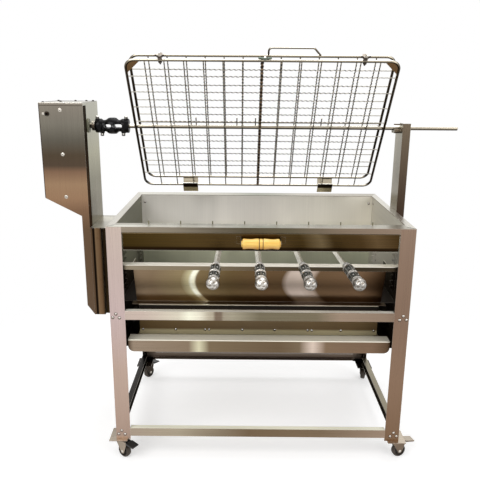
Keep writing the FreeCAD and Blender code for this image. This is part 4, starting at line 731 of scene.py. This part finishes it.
def bay(half, index):
    return 2 * half * (index / BAYS - 0.5)


def crimped(start, end, sway, wave=16.5 * MM, size=2.5 * MM):
    """A path with even crimps along it."""
    reach = (end - start).length
    count = max(2, round(reach / wave * 7))
    path = []
    for index in range(count + 1):
        share = index / count
        fade = min(1.0, 6 * share, 6 * (1 - share))
        offset = math.sin(2 * math.pi * share * reach / wave) * size * fade
        path.append(start.lerp(end, share) + sway * offset)
    return path


def grid(name, body, side, node, outward):
    """Crossing wires of one half of the basket, and the thick ribbed bar in its middle."""
    half, bottom, depth, rows = side
    shape = Shape()
    for index in range(1, BAYS):
        middle = 2 * index == BAYS
        x, z = bay(half, index), depth + outward * (RIB if middle else WIRE)
        start, end = basket(x, bottom + ROD, z), basket(x, HALF_TALL - ROD, z)
        if middle:
            path = [start.lerp(end, step / RIB_STEPS) for step in range(RIB_STEPS + 1)]
            radii = [3.5 * MM + 1.8 * MM * (step % 6 < 3) for step in range(RIB_STEPS + 1)]
            shape.sweep(path, radii, 10, 2)
        else:
            path = crimped(start, end, X * 0.6 + OUT * 0.5, 11.5 * MM, 1.5 * MM)
            shape.sweep(path, WIRE * 1.25, 7, 1)
    reach, z = half - ROD, depth - outward * WIRE
    for y in rows:
        path = crimped(basket(-reach, y, z), basket(reach, y, z), RISE * 0.75 + OUT * 0.35)
        shape.sweep(path, WIRE, 7)
    shape.piece(name, body, ("wire", "upright", "rib"), "wire_steel", (node,))


def weld_beads(name, body, side):
    """Bright beads where the wires meet the frame's rods."""
    half, bottom, depth, rows = side
    shape = Shape()
    spots = [basket(way * (half - ROD), y, depth) for y in rows for way in (-1, 1)]
    spots += [basket(bay(half, index), y, depth)
        for index in range(1, BAYS) for y in (bottom + ROD, HALF_TALL - ROD)]
    for spot in spots:
        tall = random.uniform(2.0, 2.8) * MM
        shape.turn([(-tall, 0), (-tall * 0.7, tall * 0.8), (0, tall * 1.1),
            (tall * 0.7, tall * 0.8), (tall, 0)], spot, OUT, 8)
    shape.piece(name, body, ("weld",), "wire_steel", angle=80)


def lid_bar():
    """The straight smooth bar across the lid, just above the spit."""
    shape = Shape()
    reach = LID_HALF - ROD
    shape.sweep([basket(x * reach, 12 * MM, -GAP + 3 * MM) for x in (-1, -0.5, 0, 0.5, 1)],
        3 * MM, 16)
    shape.piece("lid_bar", "basket_lid", ("rods",), "wire_steel")


grid("basket_wires", "spit", FRONT_HALF, "basket_mesh", 1)
grid("lid_wires", "basket_lid", LID, "lid_mesh", -1)
weld_beads("basket_welds", "spit", FRONT_HALF)
weld_beads("lid_welds", "basket_lid", LID)
lid_bar()

# ---- grip and skewers

# Half of the grip, as shares of its half length and radius; its groove lies in GROOVED.
GRIP = [(0.0, 0.955), (0.045, 0.955), (0.075, 0.93), (0.082, 0.83), (0.108, 0.83), (0.115, 0.95),
    (0.15, 0.995), (0.2, 1.0), (0.3, 0.965), (0.45, 0.9), (0.6, 0.885), (0.72, 0.91),
    (0.82, 0.96), (0.88, 0.97), (0.92, 0.93), (0.94, 0.8), (0.945, 0.62), (0.97, 0.6),
    (0.99, 0.52), (1.0, 0.36), (1.0, 0.18)]
GROOVED = (0.078, 0.112)
BALL_EXTRA = 2.4 * MM
RING, PANEL = 17.4, 15.7
# A skewer's handle from its ball inwards, in millimetres; the dark panels end at PANEL_ENDS.
HANDLE = [(10, 9), (17, 11), (19, RING), (23, RING * 1.03), (25, 12.6), (27, 12.6), (29, RING),
    (33, RING), (35, PANEL), (86, PANEL), (88, RING), (93, RING), (95, 12.8), (99, 12.8),
    (101, RING), (106, RING), (108, PANEL), (168, PANEL), (170, RING), (175, RING),
    (177, 12.4), (181, 12.4), (183, RING * 0.97), (188, RING * 0.97), (191, 12),
    (212, 10.5), (215, 12.5), (220, 12.5), (222, 10)]
PANEL_ENDS = (86, 168)
BLADE = mm((-10.5, -6), (-10, -6.4), (0, -2.4), (10, -6.4), (10.5, -6), (1, -0.4), (0, 0),
    (-1, -0.4))


def grip():
    """The turned grip: two waisted halves, a ring between two grooves, and end nubs."""
    shape = Shape()
    near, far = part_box("flap_grip")
    half = (far.x - near.x) / 2
    radius = (far.z - near.z) / 2
    profile = [(-half * place, radius * size) for place, size in reversed(GRIP)]
    profile += [(half * place, radius * size) for place, size in GRIP[1:]]
    marks = [int(GROOVED[0] < abs(here[0] + there[0]) / 2 / half < GROOVED[1])
        for here, there in zip(profile, profile[1:])]
    shape.turn(profile, centre_of("flap_grip"), X, 56, marks=marks)
    shape.piece("turned_grip", "front_flap", ("wood", "groove"), "grip_wood", ("flap_grip",))


def relief_ball(shape, centre, radius, axis):
    """The cast ball at a handle's end, with raised curling lines and dark hollows."""
    rows, steps = 28, 56
    ways = around(*cross_axes(axis), steps)
    rings = []
    for row in range(rows + 1):
        tip = math.pi * row / rows
        ring = []
        for step, way in enumerate(ways):
            turn = 2 * math.pi * step / steps
            wave = math.sin(4 * turn + 3 * math.sin(4 * tip)) * math.sin(5 * tip + turn)
            size = radius * (0.975 + 0.025 * wave)
            ring.append(centre + axis * (-math.cos(tip) * size)
                + way * max(math.sin(tip) * size, HAIR))
        rings.append(ring)
    start = len(shape.marks)
    shape.loft(rings)
    for index in range(start, start + rows * steps):
        spot = sum((shape.points[point] for point in shape.faces[index]), Vector()) / 4
        if (spot - centre).length < radius * 0.968:
            shape.marks[index] = 2


def skewer(place):
    """A folded blade in a cast handle with beaded rings around dark relief panels."""
    node = "skewer_" + place
    near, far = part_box(node)
    inward = -Vector(JOINT[node + "_slide"]["axis"]).normalized()
    radius = (far.x - near.x) / 2 + BALL_EXTRA
    centre = at((near.x + far.x) / 2, near.y + radius, far.z - radius)
    axes = cross_axes(inward)
    shape = Shape()
    relief_ball(shape, centre, radius, inward)
    shape.turn(mm(*HANDLE), centre, inward, 40,
        marks=[int(step[0] in PANEL_ENDS) for step in HANDLE[1:]])
    for start, end in mm((34, 87), (107, 169)):
        middle = centre + inward * ((start + end) / 2)
        for way in around(*axes, 6, 0.5):
            shape.block(middle + way * PANEL * MM, (end - start, 1.3 * MM, 1.8 * MM),
                (inward, inward.cross(way), way))
        for way in around(*axes, 6):
            for share in (-0.3, 0.0, 0.3):
                spot = middle + inward * (share * (end - start)) + way * (PANEL - 0.4) * MM
                shape.turn(mm((0, 2.6), (1.2, 2.2), (1.7, 1), (1.8, 0)), spot, way, 8,
                    0 if share == 0 else 1)
    shape.piece(node + "_handle", node, ("cast", "cast_dark", "cast_groove"), "cast_handle", (),
        50)

    blade = Shape()
    back = inward.cross(X).normalized()
    if back.z < 0:
        back = -back
    start = centre + inward * (205 * MM)
    reach = (far.y - start.y) / inward.y - MM
    blade.loft([[start + inward * along + X * (x * width) + back * (y * width) for x, y in BLADE]
        for along, width in ((0, 1.0), (reach - 24 * MM, 1.0), (reach - 12 * MM, 0.62),
        (reach, 0.05))])
    blade.piece(node + "_blade", node, ("blade",), "cast_handle", (node,), 30)


grip()
for place in SKEWERS:
    skewer(place)

# ---- castors

HUB = mm((4.05, 17), (3.6, 9.5), (8.55, 8.5), (9, 7), (9, 4.4))
TYRE = mm((-9, 18), (-9, 22.4), (-7.65, 23.8), (-4.5, 24.8), (0, 25), (4.5, 24.8), (7.65, 23.8),
    (9, 22.4), (9, 18))


def castor_wheel(corner):
    """A moulded wheel: rounded tyre and spoked hub, and the nuts on its axle."""
    roll = JOINT["wheel_%s_roll" % corner]
    centre = Vector(roll["pos_m"])
    axis = Vector(roll["axis"]).normalized()
    shape = Shape()
    profile = [(-place, radius) for place, radius in reversed(HUB)] + TYRE + HUB
    shape.turn(profile, centre, axis, 48, marks=[1] * 5 + [0] * 8 + [1] * 5)
    for side in (-1, 1):
        for way in around(*cross_axes(axis), 6):
            shape.block(centre + way * (13 * MM) + axis * (side * 4.95 * MM),
                (9 * MM, 2 * MM, 3 * MM), (way, axis.cross(way), axis), 1)
    shape.piece("wheel_%s_tyre" % corner, "wheel_" + corner, ("tyre", "hub"), "wheel_tread",
        ("castor_wheel_" + corner,), 40)
    shape = Shape()
    for side in (-1, 1):
        shape.turn(mm((0, 5.6), (1.6, 5.6), (2.2, 4.6), (2.2, 2.6), (3, 2.2), (3, 0)),
            centre + axis * (side * 11.7 * MM), axis * side, 6)
    shape.piece("axle_nuts_" + corner, "castor_" + corner, ("plated",), "castor_zinc")


for corner in CORNERS:
    castor_wheel(corner)

# ---- clamps, coupling, fittings

CLAMP_PLACE = 328 * MM
GUSSET = 50 * MM


def rounded(points, radius, steps=4):
    """A flat outline with its corners rounded."""
    made = []
    for index, corner in enumerate(points):
        corner = Vector(corner)
        before = Vector(points[index - 1]) - corner
        after = Vector(points[(index + 1) % len(points)]) - corner
        reach = min(radius, before.length * 0.45, after.length * 0.45)
        start = corner + before.normalized() * reach
        end = corner + after.normalized() * reach
        for step in range(steps + 1):
            share = step / steps
            made.append(tuple(start.lerp(corner, share).lerp(corner.lerp(end, share), share)))
    return made


def clamp(side, sign):
    """A rounded bar under a wing nut that turns on its stud."""
    shape = Shape()
    seat = HALF_TALL + ROD + 0.3 * MM
    bar = rounded(mm((-7, 20), (-7, -17.5), (7, -17.5), (7, 20)), 6 * MM)
    shape.prism(bar, basket(sign * CLAMP_PLACE, seat, 0), X, OUT, RISE * 2.6 * MM)
    foot = basket(sign * CLAMP_PLACE, seat + 2.6 * MM, GAP)
    shape.turn(mm((0, 8), (0.8, 8), (1, 6.4), (2, 6.2), (7.5, 4.6), (8.2, 3.9), (8.2, 2.7)),
        foot, RISE, 24)
    for way in (-1, 1):
        lobe = rounded(mm((3.2 * way, 1.5), (8 * way, 3), (16.4 * way, 9), (15.6 * way, 13.4),
            (10 * way, 13), (4.4 * way, 7.6)), 3.4 * MM)
        shape.prism(lobe, foot - OUT * 1.2 * MM, X, RISE, OUT * 2.4 * MM)
    shape.piece("wing_clamp_" + side, "clamp_" + side, ("clamp_steel",), "fastener_steel",
        ("clamp_" + side,), 40, 0.4 * MM)


def stud_details():
    """Threads on the clamps' studs, nuts below them, and beads on the gussets."""
    shape = Shape()
    thread = [(0, 2.4)]
    for turn in range(9):
        place = 0.4 + turn * 1.35
        thread += [(place, 2.45), (place + 0.65, 2.95)]
    thread += [(12.6, 2.4), (13, 1.6)]
    for sign in (-1, 1):
        x = sign * CLAMP_PLACE
        shape.turn(mm(*thread), basket(x, HALF_TALL + ROD + 10.5 * MM, GAP), RISE, 16)
        shape.turn(mm((0, 6.4), (5, 6.4), (5.8, 5.2), (5.8, 2.8), (11, 2.6), (11.6, 1.8)),
            basket(x, HALF_TALL - ROD + 0.5 * MM, GAP), -RISE, 6, 1)
    for side in (-1, 1):
        for across, below in ((GUSSET, 3 * MM), (3 * MM, GUSSET)):
            shape.turn(mm((-3, 0), (-2, 2.4), (0, 3), (2, 2.4), (3, 0)),
                basket(side * (HALF_WIDE - across), HALF_TALL - below, GAP), OUT, 10, 2)
    shape.piece("stud_details", "spit", ("plated", "clamp_steel", "weld"), "fastener_steel",
        angle=50)


def gusset_faces():
    """Thin dark plates over the two corner gussets."""
    shape = Shape()
    for side in (-1, 1):
        outline = [(side * (HALF_WIDE - across), HALF_TALL - below) for across, below in
            mm((50, 1), (12, 1), (1, 12), (1, 50))]
        shape.prism(rounded(outline, 3 * MM), basket(0, 0, GAP - 1.3 * MM), X, RISE,
            OUT * 2.6 * MM)
    shape.piece("gusset_faces", "spit", ("gusset",), "wire_steel", bevel=0.3 * MM)


def catch_clip():
    """The winged clip in the middle of the top rod."""
    shape = Shape()
    middle = basket(8 * MM, HALF_TALL + ROD - 0.5 * MM, GAP)
    wing = rounded(mm((-22, 3.5), (-21, 9.5), (-9, 6.5), (0, 9.6), (9, 6.5), (21, 9.5),
        (22, 3.5), (7, 0.6), (-7, 0.6)), 3 * MM)
    shape.prism(wing, middle - OUT * 2 * MM, X, RISE, OUT * 4 * MM)
    shape.turn(mm((0, 5.6), (4, 5), (8.6, 4.4), (9.2, 3)), middle, RISE, 20)
    shape.piece("catch_clip", "spit", ("clip",), "wire_steel", bevel=0.5 * MM)


def carve(made, cutters):
    """Cut shapes out of a piece for good."""
    for cutter in cutters:
        tool = made.modifiers.new("cut", "BOOLEAN")
        tool.operation = "DIFFERENCE"
        tool.solver = "EXACT"
        tool.object = cutter
    bpy.context.view_layer.update()
    finished = made.evaluated_get(bpy.context.evaluated_depsgraph_get())
    finished = bpy.data.meshes.new_from_object(finished)
    made.modifiers.clear()
    made.data = finished
    for cutter in cutters:
        bpy.data.objects.remove(cutter)


def coupling():
    """The cast sleeve: soft-edged barrels and bulge, bosses for the screws, two windows."""
    start = centre_of("coupling")
    start.x = low("coupling").x
    shape = Shape()
    shape.turn(mm((0.6, 23.6), (2, 25), (21, 25), (24, 23.2), (26, 20.4), (33, 20.2), (38, 21.4),
        (43, 25.4), (48, 28.2), (54, 29), (68, 29), (74, 28), (78, 24.4), (82, 21.2),
        (87, 20.6), (91, 22.6), (94, 24.6), (98, 25), (118, 25), (119.4, 23.6),
        (119.6, 10), (117, 8.3), (60, 8.3), (60, 9.3), (3, 9.3), (0.4, 11)),
        start, X, 64, closed=True)
    made = shape.piece("cast_coupling", "spit", ("black",), "black_cast", ("coupling",), 50)
    cutters = []
    for middle, wide in ((46.2, 7.8), (81, 11.4)):
        hole = Shape()
        angles = [math.pi * step / 10 for step in range(11)]
        outline = mm(*((middle + side * wide + 6.2 * math.sin(angle) * side, 6.2 * math.cos(angle))
            for side, turns in ((1, angles), (-1, reversed(angles))) for angle in turns))
        hole.prism(outline, start - Y * 40 * MM, X, Z, Y * 80 * MM)
        cutters.append(add_object("window", hole.mesh("window")))
    carve(made, cutters)
    bosses, knobs = Shape(), Shape()
    grooves = []
    for rib in range(6):
        grooves += [(28.6 + 1.25 * rib, 6.1), (29.2 + 1.25 * rib, 6.5)]
    for place, lean in ((9, 20), (24, 160), (111, 20), (100, 160)):
        way = at(0, -math.sin(math.radians(lean)), math.cos(math.radians(lean)))
        spot = start + X * place * MM
        bosses.turn(mm((18, 9), (24, 8.6), (26.6, 7.6), (27.6, 6), (27.6, 3.4)), spot, way, 28)
        knobs.turn(mm((20, 3), (28, 3), (28.2, 4.6), *grooves, (36.4, 5.6), (36.9, 4),
            (36.4, 2.6), (36.4, 0)), spot, way, 28)
    bosses.piece("coupling_bosses", "spit", ("black",), "black_cast", (), 50)
    knobs.piece("thumb_knobs", "spit", ("dark_chrome",), "fastener_steel", ("thumb_screws",), 30)


def toggle_bezel():
    """A black bezel around the toggle with a bright locking tab at its left."""
    shape = Shape()
    middle = centre_of("toggle_switch")
    middle.y = low("housing_shell").y
    shape.turn(mm((0, 8.4), (1.2, 8.4), (2, 7.8), (2, 7.1), (1, 7), (0, 6.9)), middle,
        -Y, 36, closed=True)
    tab = rounded(mm((-17, -3.4), (-8, -4.2), (-8, 4.2), (-17, 3.4)), 3 * MM)
    shape.prism(tab, middle, X, Z, -Y * 3 * MM, 1)
    shape.piece("toggle_bezel", "trolley", ("black", "plated"), "black_cast", (), 40, 0.4 * MM)


def edge_beads():
    """Rolled edges on the housing's cap, dark beads as painted shadow lines under the cap and down
    the housing's front edge, a strip on the housing's right face with painted reflection and
    painted shade, and the dark mitre seams at the rim's corners.
    """
    shape = Shape()
    near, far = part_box("housing_cap")
    inset = 1.5 * MM
    left, right = near.x + inset, far.x - inset
    front, back = near.y + inset, far.y - inset
    ring = [at(x, y, far.z - 0.6 * MM) for x, y in
        ((left, front), (right, front), (right, back), (left, back))]
    for index in range(4):
        shape.sweep([ring[index], ring[(index + 1) % 4]], inset, 12, int(index > 0))
    # Dark beads under the cap's front and right edges: painted shadow lines.
    under = near.z - 0.4 * MM
    for start, end in zip(ring[:2], ring[1:3]):
        shape.sweep([at(start.x + 0.2 * MM, start.y - 1.2 * MM, under),
            at(end.x - 0.2 * MM, end.y - 1.2 * MM, under)], 0.9 * MM, 8, 1)
    # A dark bead down the housing's front left edge: a painted shadow line.
    edge = low("housing_shell")
    shape.sweep([at(edge.x + 1.3 * MM, edge.y + 0.6 * MM, height)
        for height in (0.905, under)], 1.2 * MM, 8, 1)
    shape.piece("cap_beads", "trolley", ("cap", "rivet_ring"), "housing_steel")

    # A strip on the housing's right face: brown painted reflection, then near black painted shade.
    fold = Shape()
    side = high("housing_shell").x
    foot = high("mounting_column").z
    for start, end, mark in ((0, 32, 0), (32, 37, 1)):
        fold.block(at(side + 0.3 * MM, near.y + (start + end) / 2 * MM, (foot + under) / 2),
            (0.6 * MM, (end - start) * MM, under - foot), mark=mark)
    fold.piece("panel_fold", "trolley", ("fold", "gap"), "housing_steel")

    seams = Shape()
    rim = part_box("top_rail_front")
    for side, x in ((1, rim[0].x), (-1, rim[1].x)):
        outer, inner = (at(x + side * across * MM, rim[0].y + back * MM,
            rim[1].z + 0.1 * MM) for across, back in ((3, 3), (24, 25)))
        along = inner - outer
        way = along.normalized()
        seams.block((outer + inner) / 2, (along.length, 1.6 * MM, 0.5 * MM),
            (way, way.cross(Z), Z))
    seams.piece("mitre_seams", "trolley", ("seam",), "frame_steel")


def castor_screws():
    """Screws that hold each castor's plate, and the ring of its swivel bearing."""
    shape = Shape()
    top = high("castor_plates").z
    for corner in CORNERS:
        swivel = Vector(JOINT["castor_%s_swivel" % corner]["pos_m"])
        out = -1 if "left" in corner else 1
        near = -1 if "front" in corner else 1
        for x, y in mm((-24, -32), (24, -32), (-24, 32), (24, 32)):
            if x * out > 0 or y * near > 0:
                screw(shape, at(swivel.x + x, swivel.y + y, top - 2.5 * MM), -Z, 3.6 * MM)
        shape.turn(mm((0, 21), (-1.2, 21.6), (-2.4, 21), (-2.6, 19)),
            at(swivel.x, swivel.y, top - 2.6 * MM), Z, 40)
    # Their cross slots take the dark look: painted shade.
    shape.piece("castor_screws", "trolley", ("plated", "rivet_ring"), "fastener_steel")


clamp("left", -1)
clamp("right", 1)
stud_details()
gusset_faces()
catch_clip()
coupling()
toggle_bezel()
edge_beads()
castor_screws()

# ---- floor, light and camera

CAMERA_PLACE = at(-0.0325, -2.046856, 1.3049)
CAMERA_YAW = math.radians(-0.131)
CAMERA_PITCH = math.radians(15.004)
CAMERA_ROLL = math.radians(0.433)
LENS = 44.05
SKY = 0.55
FLOOR_REACH = 6.0
FLOOR_COLOUR = (0.74, 0.74, 0.74, 1)
FLOOR_LIFT = 0.46
FLOOR_FADE = (0.9, 1.7)
AIM = (0, 0, 0.7)


def camera():
    data = bpy.data.cameras.new("camera")
    data.sensor_width = 36
    data.lens = LENS
    made = add_object("camera", data)
    turn = (Matrix.Rotation(-CAMERA_YAW, 4, "Z")
        @ Matrix.Rotation(math.pi / 2 - CAMERA_PITCH, 4, "X")
        @ Matrix.Rotation(CAMERA_ROLL, 4, "Z"))
    made.matrix_world = Matrix.Translation(CAMERA_PLACE) @ turn
    bpy.context.scene.camera = made


def lamp(name, place, size, power):
    data = bpy.data.lights.new(name, "AREA")
    data.shape = "DISK"
    data.size = size
    data.energy = power
    made = add_object(name, data)
    made.location = place
    made.rotation_euler = (Vector(AIM) - Vector(place)).to_track_quat("-Z", "Y").to_euler()


def world():
    """White where it is seen or mirrored, softer as light."""
    sky = bpy.data.worlds.new("studio")
    bpy.context.scene.world = sky
    tree = Tree(sky)
    rays = tree.add("LightPath").outputs
    seen = tree.add("Math", {0: rays["Is Camera Ray"], 1: rays["Is Glossy Ray"]}, operation="ADD")
    seen = tree.add("Math", {0: seen, 1: rays["Is Transmission Ray"]}, operation="ADD",
        use_clamp=True)
    soft, white = (tree.add("Background", {"Color": (1, 1, 1, 1), "Strength": strength})
        for strength in (SKY, 1.0))
    tree.add("OutputWorld", {0: tree.add("MixShader", {0: seen, 1: soft, 2: white})})


def floor():
    """A pale floor that fades into the white background away from the object."""
    mesh = bpy.data.meshes.new("floor")
    mesh.from_pydata([(x * FLOOR_REACH, y * FLOOR_REACH, 0) for x, y in SQUARE], [],
        [(0, 1, 2, 3)])
    made = add_object("floor", mesh)
    material = bpy.data.materials.new("floor")
    tree = Tree(material)
    pale = tree.add("BsdfDiffuse", {"Color": FLOOR_COLOUR})
    lift = tree.add("Emission", {"Strength": FLOOR_LIFT})
    both = tree.add("AddShader", {0: pale, 1: lift})
    clear = tree.add("BsdfTransparent")
    place = tree.add("TexCoord").outputs["Object"]
    far = tree.add("VectorMath", {0: place}, operation="LENGTH")
    fade = tree.add("MapRange", {"Value": far.outputs["Value"],
        "From Min": FLOOR_FADE[0], "From Max": FLOOR_FADE[1]}, interpolation_type="SMOOTHSTEP")
    blend = tree.add("MixShader", {0: fade, 1: both, 2: clear})
    tree.add("OutputMaterial", {"Surface": blend})
    mesh.materials.append(material)


camera()
world()
floor()
lamp("key", (-1.8, -2.4, 2.9), 2.4, 60)
lamp("fill", (2.4, -2.0, 1.8), 2.4, 30)
lamp("top", (0.2, 0.6, 3.4), 2.6, 35)
bpy.context.scene.view_settings.view_transform = "Standard"
